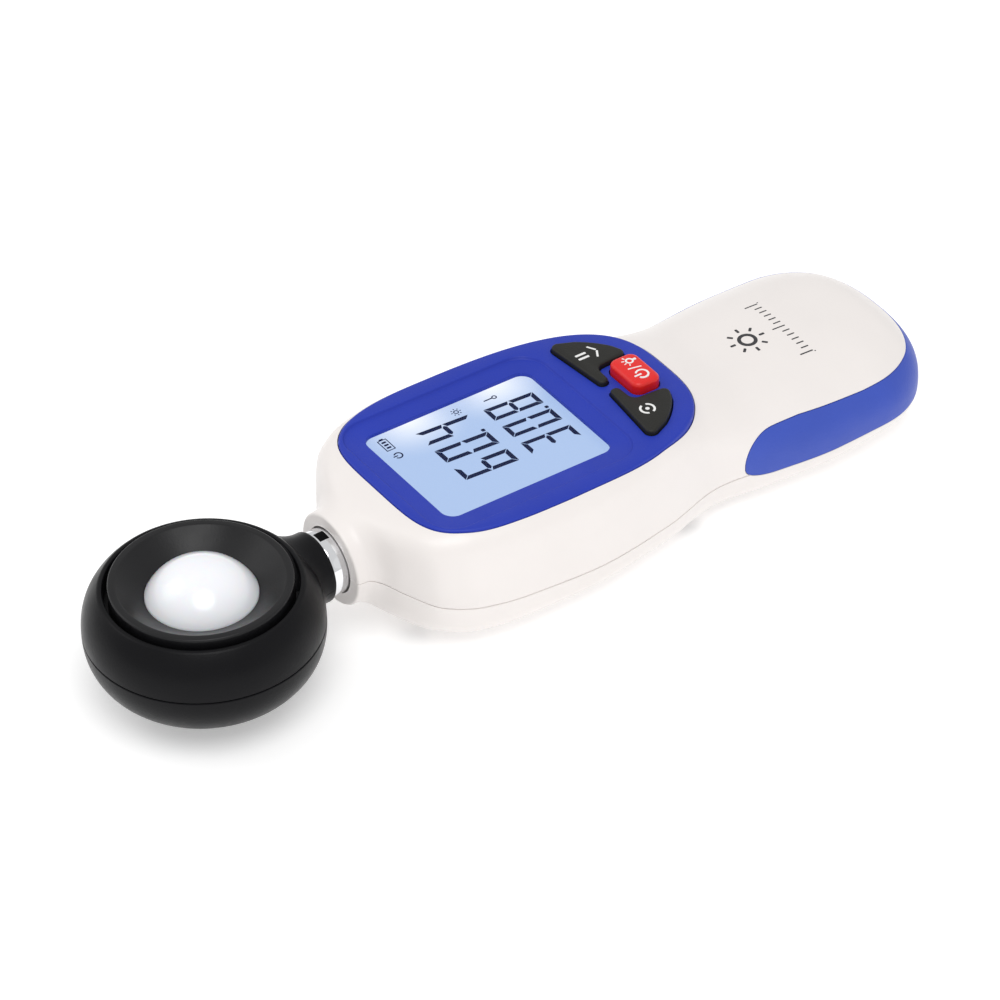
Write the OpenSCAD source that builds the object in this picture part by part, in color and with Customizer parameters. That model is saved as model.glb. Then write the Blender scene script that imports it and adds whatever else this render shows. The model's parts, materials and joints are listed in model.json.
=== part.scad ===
// Handheld light meter with a swivelling sensor head.
// Millimetres. Origin: bottom centre of the meter lying on its back.
// +Y points at the sensor head, +X to the reader's right, +Z out of the display.

/* [Housing] */
// Position of the tail end of the housing along Y
tail_y = -90.7; // [-91:0.1:-90.4]
// Thickness of the housing walls
wall = 2.4; // [2.2:0.1:2.6]
// Gap left between the two housing halves
seam_gap = 0.12; // [0.08:0.02:0.2]
// Length over which the tail rounds off in plan
tail_round = 18; // [14:1:22]
// How far the grip band stands proud of the housing
grip_proud = 0.2; // [0.1:0.05:0.5]

/* [Sensor head] */
// Height of the swivel axis above the rest plane
axis_h = 16.2; // [16:0.1:16.4]
// Distance of the sensor head's centre from the origin along Y
head_y = 68; // [67.5:0.1:68.5]
// Largest radius of the sensor head
head_r = 22.9; // [22.5:0.1:23.2]
// Radius of the white dome where it meets the dish
dome_r = 10.7; // [10:0.1:11]
// Height of the white dome above its base
dome_rise = 6.5; // [5:0.1:7]

/* [Display face] */
// Height of the bezel's top plane at the display's centre
face_z = 26.95; // [26.9:0.05:27.1]
// Upward slope of the display face towards the head, in degrees
face_slope = 2.29; // [2:0.1:2.5]
// Width of the opening over the display
window_w = 29.6; // [28:0.1:31]
// Length of the opening over the display
window_l = 38; // [36:0.1:39]

/* [Keys] */
// How far the two dark keys stand above the bezel
key_proud = 1.2; // [0.8:0.1:1.6]
// How far the red power key stands above the bezel
power_proud = 2.6; // [2:0.1:3]
// Travel of each key
key_travel = 0.7; // [0.4:0.1:0.8]

/* [Hidden] */

big = 200;
lcd_y = 3.5;

// Housing stations: y, half width, top, bottom, seam height, then the four
// exponents that square the section off (upper x, upper z, lower x, lower z).
stations = [
  [tail_y, 22.8, 18.0, 2.0, 10.6, 2.5, 2.3, 2.6, 2.6],
  [-76, 23.2, 20.4, 0.6, 10.6, 2.5, 2.3, 2.6, 2.6],
  [-62, 23.4, 21.8, -0.2, 10.2, 2.5, 2.3, 2.8, 2.8],
  [-48, 21.8, 22.6, -0.4, 9.6, 2.8, 2.5, 2.8, 2.8],
  [-36.5, 19.9, 25.3, -0.4, 9.0, 3.5, 3.5, 2.8, 2.8],
  [-22, 23.3, 27.3, -0.4, 9.0, 6.0, 6.0, 2.8, 2.8],
  [-2, 25.9, 27.8, -0.4, 9.6, 7.0, 6.0, 2.8, 3.0],
  [12, 25.6, 28.4, -0.4, 10.6, 7.0, 6.0, 3.0, 3.0],
  [21.5, 23.9, 28.3, 0.0, 11.2, 7.0, 6.0, 3.0, 3.0],
  [28.5, 20.6, 27.6, 1.8, 12.4, 6.0, 5.5, 2.8, 2.8],
  [33, 14.8, 27.0, 4.2, 14.2, 4.0, 3.5, 2.5, 2.5],
  [35.5, 10.8, 26.3, 6.0, 15.4, 2.5, 2.5, 2.2, 2.2],
  [37.5, 9.6, 25.8, 6.6, axis_h - 0.1, 2, 2, 2, 2],
  [39.8, 9.4, axis_h + 9.4, axis_h - 9.4, axis_h, 2, 2, 2, 2]];
last = len(stations) - 1;
nose_y = stations[last][0];
tail_round_z = 8;
// The deck under the display is this much thicker than the walls.
deck_extra = 2.9;
deck_from = -42;
deck_full = -36;
function deck_at(y) = min(max((y - deck_from) / (deck_full - deck_from), 0), 1);

// --- smooth columns through the stations -------------------------------------
function rate(k, i) = (stations[i + 1][k] - stations[i][k]) / (stations[i + 1][0] - stations[i][0]);
function tangent(k, i) =
  i == 0 ? rate(k, 0) :
  i == last ? rate(k, last - 1) :
  rate(k, i - 1) * rate(k, i) <= 0 ? 0 :
  2 * rate(k, i - 1) * rate(k, i) / (rate(k, i - 1) + rate(k, i));
function segment(y) = max([0, for (j = [0 : last - 1]) if (y >= stations[j][0]) j]);
function column(k, y) =
  let (i = segment(y),
       h = stations[i + 1][0] - stations[i][0],
       t = (y - stations[i][0]) / h)
  (2 * t^3 - 3 * t^2 + 1) * stations[i][k] + (t^3 - 2 * t^2 + t) * h * tangent(k, i)
  + (3 * t^2 - 2 * t^3) * stations[i + 1][k] + (t^3 - t^2) * h * tangent(k, i + 1);
function tail_cap(y, length, p) =
  let (u = min(max((y - tail_y) / length, 0), 1)) (1 - (1 - u)^p)^(1 / p);

// One point of the housing section at y, inset by t (roof inset by roof),
// at angle a around the section: 0 is +X, 90 is up.
function signed_pow(v, p) = sign(v) * abs(v)^p;
function skin_point(y, a, t = 0, roof = 0) =
  let (up = a >= 0 && a <= 180,
       seam = column(4, y),
       cap = tail_cap(y - t, tail_round, 2.3),
       cap_z = tail_cap(y - t, tail_round_z, 2.2),
       half = (column(1, y) - t) * cap,
       rise = up ? (column(2, y) - t - roof - seam) * cap_z : (seam - t - column(3, y)) * cap_z,
       px = up ? column(5, y) : column(7, y),
       pz = up ? column(6, y) : column(8, y),
       z = seam + rise * signed_pow(sin(a), 2 / pz))
  [half * signed_pow(cos(a), 2 / px), y, max(z, t)];

// Y positions of the rings: dense round the tail, even along the body.
function ring_places(from, to, tail_rings, body_rings) = concat(
  [for (i = [0 : tail_rings - 1])
    from + tail_round * (1 - cos(7 + 83 * i / (tail_rings - 1)))],
  [for (i = [1 : body_rings])
    from + tail_round + (to - from - tail_round) * i / body_rings]);

// A closed solid through rings of equal length.
module skin(rings) {
  n = len(rings[0]);
  m = len(rings);
  polyhedron(
    points = [for (r = rings) each r],
    faces = concat(
      [[for (j = [n - 1 : -1 : 0]) j]],
      [[for (j = [0 : n - 1]) (m - 1) * n + j]],
      [for (i = [0 : m - 2]) for (j = [0 : n - 1])
        [i * n + j, (i + 1) * n + (j + 1) % n, (i + 1) * n + j]],
      [for (i = [0 : m - 2]) for (j = [0 : n - 1])
        [i * n + j, i * n + (j + 1) % n, (i + 1) * n + (j + 1) % n]]));
}

// Upper or lower part of the housing, inset by t. A positive overlap runs it past the
// seam and leaves out the two points on the seam itself, so that no edge lies in it.
module upper_form(t, roof, overlap, to, steps, tail_rings, body_rings) {
  skin([for (y = ring_places(tail_y + t, to, tail_rings, body_rings))
    let (edge = skin_point(y, 0, t)[0], seam = column(4, y), skip = overlap > 0 ? 1 : 0)
    concat(
      [for (i = [skip : steps - skip]) skin_point(y, 180 * i / steps, t, deck_at(y) * roof)],
      [[-edge, y, seam - overlap], [edge, y, seam - overlap]])]);
}
module lower_form(t, overlap, to, steps, tail_rings, body_rings) {
  skin([for (y = ring_places(tail_y + t, to, tail_rings, body_rings))
    let (edge = skin_point(y, 0, t)[0], seam = column(4, y), skip = overlap > 0 ? 1 : 0)
    concat(
      [for (i = [skip : steps - skip]) skin_point(y, -180 + 180 * i / steps, t)],
      [[edge, y, seam + overlap], [-edge, y, seam + overlap]])]);
}

// Merges everything below it into one closed shell without changing its size.
module merged() { resize([0, 0, 0]) children(); }

// Frame of the display face: origin on the bezel's top plane at the display's centre.
module on_face() {
  translate([0, lcd_y, face_z]) rotate([face_slope, 0, 0]) children();
}
module slab(w, l, low, high, r = 0, y = 0) {
  translate([0, y, low]) linear_extrude(high - low) rounded_rect(w, l, r);
}
module rounded_rect(w, l, r) {
  if (r == 0) square([w, l], center = true);
  else polygon([for (c = [[1, 1, 0], [-1, 1, 90], [-1, -1, 180], [1, -1, 270]]) for (i = [0 : 6])
    [c[0] * (w / 2 - r) + r * cos(c[2] + 15 * i), c[1] * (l / 2 - r) + r * sin(c[2] + 15 * i)]]);
}

// --- display face ------------------------------------------------------------
window_y = -0.2;
bezel_half = 22.8;
bezel_up = 25.1;
bezel_down = 41.6;
bezel_t = 2.3;
lens_low = -2.3;
lens_high = -1.5;
lens_w = 34;
lens_l = 42;
lcd_w = 36;
lcd_l = 43.6;
deck_low = -4.2;
board_high = -8.5;
board_t = 1.2;

module bezel_outline(grow) {
  polygon([for (i = [0 : 79])
    let (a = 4.5 * i, up = a < 180, reach = (up ? bezel_up : bezel_down) + grow)
    [(bezel_half + grow) * signed_pow(cos(a), 2 / (up ? 4.5 : 3.2)),
     reach * signed_pow(sin(a), 2 / (up ? 2.7 : 2.8))]]);
}
// The bezel drops to the window in a wide shallow recess with rounded corners.
recess_w = 38;
recess_l = 46;
recess_r = 6;
recess_depth = 0.6;
window_r = 2.6;

// --- keys --------------------------------------------------------------------
power_w = 9.8;
power_l = 6.2;
power_y = -34.3;
power_r = 1.8;
key_foot = -4.4;
key_base = -5.2;
key_foot_grow = 0.4;
key_gap = 0.25;
key_room_low = key_base - key_travel - 0.2;

// Plan of the right-hand dark key: a straight edge towards the display, an arc
// that follows the bezel, and a notch that clears the power key.
module key_outline(grow) {
  offset(delta = grow) polygon(concat(
    [[1.1, -27.4], [16.2, -25.8]],
    [for (i = [0 : 9])
      let (a = -22 - 44 * i / 9) [18.6 * cos(a), -18.9 + 20.2 * sin(a)]],
    [[6.5, -37.6], [6.1, -30.8], [5.3, -29.6], [1.4, -29.4]]));
}
module power_outline(grow) {
  translate([0, power_y]) rounded_rect(power_w + 2 * grow, power_l + 2 * grow, power_r);
}
module all_keys(grow) {
  power_outline(grow);
  key_outline(grow);
  mirror([1, 0]) key_outline(grow);
}
module key_solid(high) {
  translate([0, 0, key_foot]) linear_extrude(high - key_foot) children(0);
  translate([0, 0, key_base]) linear_extrude(key_foot - key_base) children(1);
}

// --- housing -----------------------------------------------------------------
front_screws = [[-11.4, 29], [11.4, 29]];
rear_screws = [[-16.6, -30.5], [16.6, -30.5]];
boss_r = 3;
rear_boss_top = 19.2;
front_boss_top = 24;
lower_boss_top = 9;
screw_r = 1.1;
pilot_gap = 0.03;
head_low_z = 5.4;
screw_head_r = 1.9;
screw_head_h = 1.6;
screw_top = 17;
bush_r = 7.9;
boss_bore = 8.0;
lip_bore = 6.85;
lip_y = 38.4;
cavity_y = 33;

module at_places(places) {
  for (p = places) translate([p[0], p[1], 0]) children();
}
module at_screws() {
  at_places(concat(front_screws, rear_screws)) children();
}
module along_y(from, to, r, $fn = 48) {
  translate([0, from, axis_h]) rotate([-90, 0, 0]) cylinder(r = r, h = to - from);
}
module neck_bore() {
  along_y(cavity_y - 5, lip_y, boss_bore);
  along_y(lip_y - 1, nose_y + 1, lip_bore);
}
// Side view of the grip band, swept right across the housing.
grip_low = 8.3;
grip_tip_y = -41.6;
module grip_side_view(grow) {
  translate([-big / 2, 0, 0]) rotate([90, 0, 90]) linear_extrude(big)
    offset(delta = grow) polygon(concat(
      [[tail_y - 5, grip_low], [grip_tip_y - 5, grip_low]],
      [for (i = [0 : 8])
        let (a = -90 + 180 * i / 8)
        [grip_tip_y - 6 + 6 * signed_pow(cos(a), 0.8), 12.9 + 4.6 * sin(a)]],
      [[-55, 17.4], [-70, 16.5], [tail_y - 5, 16]]));
}
module handle_form(t) {
  skin([for (y = ring_places(tail_y + t, grip_tip_y + 6, 10, 10))
    [for (i = [0 : 31]) skin_point(y, 11.25 * (i + 0.5), t)]]);
}
grip_depth = 1.1;
module grip_pocket() {
  difference() {
    grip_side_view(0.1);
    handle_form(grip_depth + 0.05);
  }
}

module front_cover() {
  color([0.94, 0.92, 0.9]) merged() difference() {
    union() {
      difference() {
        upper_form(0, 0, 0, nose_y, 24, 9, 26);
        upper_form(wall, deck_extra, 1, cavity_y, 12, 5, 12);
      }
      intersection() {
        upper_form(0.5, 0, -0.15, nose_y, 10, 5, 12);
        union() {
          at_places(front_screws) cylinder(r = boss_r, h = front_boss_top, $fn = 24);
          at_places(rear_screws) cylinder(r = boss_r, h = rear_boss_top, $fn = 24);
          on_face() at_places(board_screw_places)
            translate([0, 0, board_high]) cylinder(r = board_boss_r, h = deck_low - board_high + 1, $fn = 24);
        }
      }
    }
    at_screws() cylinder(r = screw_r + pilot_gap, h = screw_top + 1, $fn = 24);
    on_face() at_places(board_screw_places) translate([0, 0, board_high - 1])
      cylinder(r = board_screw_r + pilot_gap, h = board_screw_bite + 1.2, $fn = 24);
    neck_bore();
    grip_pocket();
    on_face() {
      translate([0, 0, -bezel_t - 0.05]) linear_extrude(10) bezel_outline(0.12);
      slab(lcd_w + 0.4, lcd_l + 0.4, deck_low - 1, 0, 0, window_y);
      slab(holder_w + 0.2, holder_l + 0.2, board_high, deck_low, 1, window_y);
      translate([0, 0, key_room_low]) linear_extrude(-key_room_low) all_keys(key_gap);
      translate([0, 0, key_room_low]) linear_extrude(key_foot + 0.2 - key_room_low)
        all_keys(key_foot_grow + 0.3);
    }
  }
}

// --- battery bay ---------------------------------------------------------------
bay_half = 16.7;
bay_front = -35;
bay_back = -85;
bay_floor = 2.2;
bay_roof = 14.1;
bay_wall = 1.2;
bay_skin = 1.3;
door_half = 15.4;
door_front = -37;
door_lip = 6.4;
door_t = 1.3;
door_gap = 0.2;
rail_low = 3.4;
rail_h = 0.9;
rail_from = -60;
rail_to = -48;

// Plan of the battery door with its upturned tail, from below the housing to its lip.
module door_region(grow) {
  translate([-door_half - grow, tail_y - 5, -1])
    cube([2 * (door_half + grow), door_front - tail_y + 5 + grow, door_lip + 1 + grow]);
}
module bay_box(grow, low) {
  translate([-bay_half - grow, bay_back - grow, low])
    cube([2 * (bay_half + grow), bay_front - bay_back + 2 * grow, bay_roof + grow - low]);
}

module rear_cover() {
  color([0.92, 0.9, 0.88]) merged() difference() {
    union() {
      difference() {
        lower_form(0, -seam_gap, nose_y, 20, 9, 26);
        lower_form(wall, 1, cavity_y, 12, 5, 12);
      }
      intersection() {
        bay_box(bay_wall, bay_floor - 1);
        union() {
          lower_form(0.5, -seam_gap, nose_y - 1, 12, 9, 14);
          upper_form(wall + 0.15, deck_extra, 1, cavity_y, 12, 5, 12);
        }
      }
      intersection() {
        lower_form(0.5, 0, nose_y - 1, 10, 5, 12);
        at_screws() cylinder(r = boss_r + 0.3, h = lower_boss_top, $fn = 24);
      }
    }
    intersection() {
      bay_box(0, bay_floor);
      lower_form(bay_skin, 6, nose_y - 1, 12, 9, 14);
    }
    at_screws() {
      translate([0, 0, -1])
        cylinder(r = screw_head_r + 0.3, h = head_low_z + screw_head_h + 1, $fn = 24);
      cylinder(r = screw_r + 0.2, h = 14, $fn = 24);
    }
    neck_bore();
    grip_pocket();
    door_region(door_gap);
  }
}
module battery_door() {
  color([0.92, 0.9, 0.88]) merged() {
    intersection() {
      difference() {
        lower_form(0, 0, nose_y, 20, 9, 26);
        lower_form(door_t, 1, cavity_y, 12, 9, 12);
      }
      door_region(0);
    }
    for (s = [-1, 1]) translate([s * (door_half - 0.4), (rail_from + rail_to) / 2, rail_low]) {
      translate([-0.4, (rail_from - rail_to) / 2, -2.4]) cube([0.8, rail_to - rail_from, 2.4 + rail_h]);
      translate([s * 0.6 - 0.8, (rail_from - rail_to) / 2, 0]) cube([1.6, rail_to - rail_from, rail_h]);
    }
  }
}
module grip_band() {
  color([0.2, 0.3, 0.75]) merged() difference() {
    intersection() {
      grip_side_view(0);
      handle_form(-grip_proud);
    }
    handle_form(grip_depth);
  }
}

// --- display stack, all square to the face ---------------------------------------
module display_bezel() {
  color([0.2, 0.28, 0.7]) on_face() difference() {
    translate([0, 0, -bezel_t]) linear_extrude(bezel_t) bezel_outline(0);
    slab(recess_w, recess_l, -recess_depth, 1, recess_r, window_y);
    slab(window_w, window_l, -bezel_t - 1, 1, window_r, window_y);
    slab(lens_w + 0.2, lens_l + 0.2, -bezel_t - 1, lens_high + 0.02, 1.5, window_y);
    translate([0, 0, -bezel_t - 1]) linear_extrude(bezel_t + 2) all_keys(key_gap);
  }
}
module display_window() {
  color([0.8, 0.88, 0.95, 0.4]) on_face()
    slab(lens_w, lens_l, lens_low + 0.02, lens_high, 1.5, window_y);
}
lcd_high = -2.35;
lcd_low = -4.15;
light_low = -6.2;
holder_w = lcd_w + 2.4;
holder_l = lcd_l + 2.4;
zebra_y = window_y - lcd_l / 2 + 1;
module lcd_panel() {
  color([0.66, 0.76, 0.88]) on_face() {
    slab(lcd_w, lcd_l, (lcd_high + lcd_low) / 2, lcd_high, 0, window_y);
    slab(lcd_w, lcd_l - 3, lcd_low, (lcd_high + lcd_low) / 2, 0, window_y + 1.5);
  }
}
module lcd_holder() {
  color("white") on_face() difference() {
    slab(holder_w, holder_l, board_high + 0.02, deck_low - 0.1, 1, window_y);
    slab(lcd_w - 3, lcd_l - 3, board_high - 1, 0, 0, window_y);
    slab(lcd_w + 0.2, lcd_l + 0.2, light_low - 0.05, 0, 0, window_y);
    slab(lcd_w - 4.6, 1.8, board_high - 1, 0, 0, zebra_y);
  }
}
module backlight_panel() {
  color([0.93, 0.96, 1]) on_face()
    slab(lcd_w - 0.4, lcd_l - 3.4, light_low, lcd_low - 0.05, 0, window_y + 1.5);
}
module backlight_leds() {
  color([1, 0.95, 0.7]) on_face() for (y = [-12, 0, 12])
    translate([lcd_w / 2 - 3.2, y - 1.5, board_high + 0.02]) cube([1.2, 3, 1.6]);
}
module zebra_strip() {
  color([0.9, 0.6, 0.7]) on_face()
    slab(lcd_w - 5, 1.4, board_high + 0.02, (lcd_high + lcd_low) / 2 - 0.02, 0, zebra_y);
}
board_bottom = board_high - board_t;
board_screw_places = [[-20.9, -6], [20.9, -6]];
board_screw_r = 0.75;
board_screw_bite = 3;
board_boss_r = 1.4;
module board_plan() {
  difference() {
    for (s = [0, 1]) mirror([s, 0]) polygon([[0, 20.8], [13, 20.8], [19.5, 13.2], [22, 7],
      [22, -11], [18.5, -26], [12.8, -27.5], [12.8, -37], [0, -37]]);
    for (p = board_screw_places) translate(p) circle(r = board_screw_r + 0.15, $fn = 24);
  }
}
module main_board() {
  color([0.1, 0.4, 0.22]) on_face()
    translate([0, 0, board_bottom]) linear_extrude(board_t) board_plan();
}
module controller_chip() {
  color([0.1, 0.1, 0.1]) on_face() {
    slab(10, 10, board_bottom - 1.4, board_bottom - 0.1, 0, -8);
    for (side = [0 : 3]) translate([0, -8, 0]) rotate(90 * side) for (i = [-4 : 4])
      translate([i - 0.2, 4.9, board_bottom - 0.5]) cube([0.4, 1.3, 0.5]);
  }
}
switch_h = 1.6;
switch_places = [[0, power_y], [9.5, -31.5], [-9.5, -31.5]];
module tact_switches() {
  color([0.75, 0.75, 0.75]) on_face() for (p = switch_places) translate([p[0], p[1], board_high]) {
    translate([-2.6, -2.6, 0]) cube([5.2, 5.2, switch_h]);
    cylinder(r = 1.3, h = key_base - key_travel - 0.06 - board_high, $fn = 32);
  }
}
module temperature_sensor() {
  color([0.15, 0.15, 0.15]) on_face() translate([17, 2, board_bottom - 1.1]) cube([1.6, 3.2, 1.1]);
}
module power_button() {
  color([0.88, 0.14, 0.12]) on_face() key_solid(power_proud) {
    power_outline(0);
    power_outline(key_foot_grow);
  }
}
module hold_button() {
  color([0.2, 0.2, 0.19]) on_face() key_solid(key_proud) {
    key_outline(0);
    key_outline(key_foot_grow);
  }
}
module mode_button() {
  color([0.2, 0.2, 0.19]) on_face() mirror([1, 0, 0]) key_solid(key_proud) {
    key_outline(0);
    key_outline(key_foot_grow);
  }
}

// --- batteries -------------------------------------------------------------------
cell_r = 5.25;
cell_l = 43.5;
nub_r = 1.9;
nub_l = 1;
cell_pitch = 11;
cell_z = 8.5;
plate_t = 0.3;
plate_back_y = -84.4;
plate_front_y = -35.6;
spring_gap = plate_front_y - plate_back_y - plate_t - cell_l - nub_l;
// The middle cell points the other way.
module at_cells() {
  for (i = [-1 : 1]) translate([cell_pitch * i, (plate_back_y + plate_t + plate_front_y) / 2, cell_z])
    rotate([i == 0 ? 90 : -90, 0, 0]) children();
}
module battery_cells() {
  color([0.3, 0.5, 0.35]) at_cells() translate([0, 0, (spring_gap - cell_l - nub_l) / 2]) {
    cylinder(r = cell_r, h = cell_l, $fn = 48);
    translate([0, 0, cell_l]) cylinder(r = nub_r, h = nub_l - 0.02, $fn = 48);
  }
}
// Conical springs press on each cell's flat end.
spring_wire = 0.3;
spring_turns = 3.5;
spring_steps = 12;
module conical_spring(length, wide, narrow) {
  n = round(spring_turns * spring_steps);
  skin([for (i = [0 : n])
    let (a = 360 * i / spring_steps, f = i / n, r = wide + (narrow - wide) * f,
         z = spring_wire + (length - 2 * spring_wire) * f)
    [for (j = [0 : 5])
      let (rr = r + spring_wire * cos(60 * j))
      [rr * cos(a), rr * sin(a), z + spring_wire * sin(60 * j)]]]);
}
module battery_springs() {
  color("silver") at_cells()
    translate([0, 0, -(spring_gap + cell_l + nub_l) / 2 + 0.02])
      conical_spring(spring_gap - 0.04, 3.1, 1.7);
}
module contact_plate(y, from_x, to_x) {
  translate([from_x, y, cell_z - 2.3]) cube([to_x - from_x, plate_t, 4.8]);
}
module battery_plates() {
  color([0.8, 0.8, 0.78]) {
    contact_plate(plate_back_y, -13.4, 2.4);
    contact_plate(plate_back_y, 7.6, 13.4);
    contact_plate(plate_front_y, -14.4, -7.6);
    contact_plate(plate_front_y, -3.4, 14.4);
  }
}

// --- fasteners -------------------------------------------------------------------
board_screw_head_h = 0.9;
// A cross recess cut up into a screw head from below.
module cross_slot(l, w, to) {
  for (size = [[l, w], [w, l]])
    translate([-size[0] / 2, -size[1] / 2, to - 2]) cube([size[0], size[1], 2]);
}
module housing_screws() {
  color("silver") at_screws() {
    difference() {
      translate([0, 0, head_low_z]) cylinder(r = screw_head_r, h = screw_head_h, $fn = 32);
      cross_slot(3, 0.6, head_low_z + 0.8);
    }
    translate([0, 0, head_low_z + screw_head_h])
      cylinder(r = screw_r, h = screw_top - head_low_z - screw_head_h, $fn = 32);
  }
}
module board_screws() {
  color("silver") on_face() at_places(board_screw_places) translate([0, 0, board_bottom]) {
    difference() {
      translate([0, 0, -board_screw_head_h]) cylinder(r = 1.3, h = board_screw_head_h, $fn = 32);
      cross_slot(1.6, 0.35, -board_screw_head_h / 2);
    }
    cylinder(r = board_screw_r, h = board_t + board_screw_bite, $fn = 32);
  }
}

// --- swivel neck, turned about the Y axis at axis_h ---------------------------------
tube_r = 4.5;
tube_bore = 3;
tube_in_y = 28.2;
tube_out_y = 50;
collar_r = 6.58;
collar_low_y = 39;
collar_high_y = 42.9;
clip_y = 29.1;
clip_t = 0.5;
clip_r = 5.6;
groove_r = 3.9;
washer_y = 29.7;
washer_t = 0.5;
bush_low_y = 30.4;
bush_high_y = 38.1;
module turned(profile, $fn = 64) {
  translate([0, 0, axis_h]) rotate([-90, 0, 0]) rotate_extrude() polygon(profile);
}
module neck_bush() {
  color([0.85, 0.85, 0.82]) {
    turned([[tube_r + 0.05, bush_low_y], [bush_r, bush_low_y], [bush_r, bush_high_y],
      [tube_r + 0.05, bush_high_y]]);
    stop_sector();
  }
}
// A wall on the bush's inner end stands in the way of the stop washer's tab at both
// limits. Angles run from +X towards +Z.
stop_from = 281;
stop_to = 349;
stop_in_r = 5.7;
stop_l = 1;
tab_angle = 90;
tab_half = 10;
module arc_block(y_high, length, from_a, to_a, r_in, r_out) {
  translate([0, y_high, axis_h]) rotate([90, 0, 0]) rotate([0, 0, from_a])
    rotate_extrude(angle = to_a - from_a, $fn = 64) translate([r_in, 0]) square([r_out - r_in, length]);
}
module stop_sector() {
  arc_block(bush_low_y + 0.2, stop_l, stop_from, stop_to, stop_in_r, bush_r - 0.3);
}
module stop_washer() {
  color([0.6, 0.6, 0.62]) {
    turned([[tube_r, washer_y], [5.4, washer_y], [5.4, washer_y + washer_t], [tube_r, washer_y + washer_t]]);
    arc_block(washer_y + washer_t, washer_t, tab_angle - tab_half, tab_angle + tab_half, 5.3, 7.4);
  }
}
module swivel_tube() {
  color([0.85, 0.86, 0.88]) turned([[tube_bore, tube_in_y], [tube_r, tube_in_y],
    [tube_r, clip_y], [groove_r, clip_y], [groove_r, clip_y + clip_t + 0.05],
    [tube_r, clip_y + clip_t + 0.05], [tube_r, collar_low_y], [collar_r - 0.3, collar_low_y],
    [collar_r, collar_low_y + 0.3], [collar_r, collar_high_y], [tube_r, collar_high_y],
    [tube_r, tube_out_y], [tube_bore, tube_out_y]]);
}
mark_l = 2;
mark_t = 0.06;
mark_half_a = 10.5;
mark_high_y = 42.4;
module index_mark() {
  color([0.05, 0.05, 0.05])
    arc_block(mark_high_y, mark_l, 90 - mark_half_a, 90 + mark_half_a, collar_r, collar_r + mark_t);
}
module wave_washer() {
  color([0.7, 0.7, 0.72]) turned([[tube_r + 0.2, bush_high_y + 0.05], [lip_bore - 0.15, bush_high_y + 0.35],
    [lip_bore - 0.15, bush_high_y + 0.55], [tube_r + 0.2, bush_high_y + 0.25]]);
}
module retaining_clip() {
  color([0.3, 0.3, 0.32]) difference() {
    turned([[groove_r + 0.02, clip_y + 0.02], [clip_r, clip_y + 0.02], [clip_r, clip_y + clip_t],
      [groove_r + 0.02, clip_y + clip_t]]);
    translate([-2, clip_y - 1, axis_h - 10]) cube([4, 3, 10]);
  }
}

// --- sensor lead: one piece in life, parted on the swivel axis ----------------------
lead_r = 1.1;
lead_part_y = 26.1;
lead_end_y = 58.5;
board_sensor_z = 18.2;
module sensor_lead() {
  color([0.12, 0.12, 0.12]) {
    along_y(lead_part_y, lead_end_y, lead_r, $fn = 32);
    translate([0, lead_end_y, axis_h]) sphere(r = lead_r, $fn = 32);
    translate([0, lead_end_y, axis_h])
      cylinder(r = lead_r, h = board_sensor_z - axis_h - 0.02, $fn = 32);
  }
}
housing_route = [[0, 26, 16.2], [0, 24, 16.1], [0.4, 22, 15.7], [1.6, 20, 15.2], [3.4, 18, 14.9],
  [5, 16, 14.8], [6, 14, 14.8], [6.2, 12.3, 14.8]];
module housing_lead() {
  n = len(housing_route);
  color([0.12, 0.12, 0.12]) skin([for (i = [0 : n - 1])
    let (d = housing_route[min(i + 1, n - 1)] - housing_route[max(i - 1, 0)],
         side = cross(d, [0, 0, 1]) / norm(cross(d, [0, 0, 1])),
         up = cross(side, d) / norm(d))
    [for (j = [0 : 7]) housing_route[i] + lead_r * (side * cos(45 * j) + up * sin(45 * j))]]);
}
module lead_plug() {
  color([0.93, 0.93, 0.9]) translate([3.2, 7.2, 13.3]) cube([6, 5, 4]);
}

// --- sensor head, turned about a vertical axis at head_y ---------------------------
head_seam_z = 15.2;
// Half of the gap between the two head shells
head_seam_half = 0.06;
head_h = 14.84;
head_wall = 1.8;
lip_r = 19;
lip_z = 24.5;
groove_z = 21.3;
dish_r = 17.4;
stem_r = 7.15;
stem_y = 43;
flare_from_y = 44.5;
flare_to_y = 48.5;
flare_r = 8.3;
dish_low = 20;
ceiling_z = 19;
ring_hole_r = 10.4;
module head_turned(profile, $fn = 96) {
  translate([0, head_y, 0]) rotate_extrude() polygon(profile);
}
// Radius of the head's outside at height z, inset by t.
function head_radius(z, t) =
  (head_r - t) * (1 - min(abs(z - head_seam_z) / (head_h - t), 1)^2.33)^(1 / 2.33);
function head_arc(z0, z1, t, n) = [for (i = [0 : n])
  let (z = z0 + (z1 - z0) * sin(90 * i / n)) [head_radius(z, t), z]];
module head_stem() {
  along_y(stem_y, flare_to_y, stem_r);
  translate([0, flare_from_y, axis_h]) rotate([-90, 0, 0])
    cylinder(r1 = stem_r, r2 = flare_r, h = flare_to_y - flare_from_y, $fn = 64);
}
module stem_hollow() {
  along_y(stem_y - 1, 56, tube_r + 0.02);
}
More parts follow.
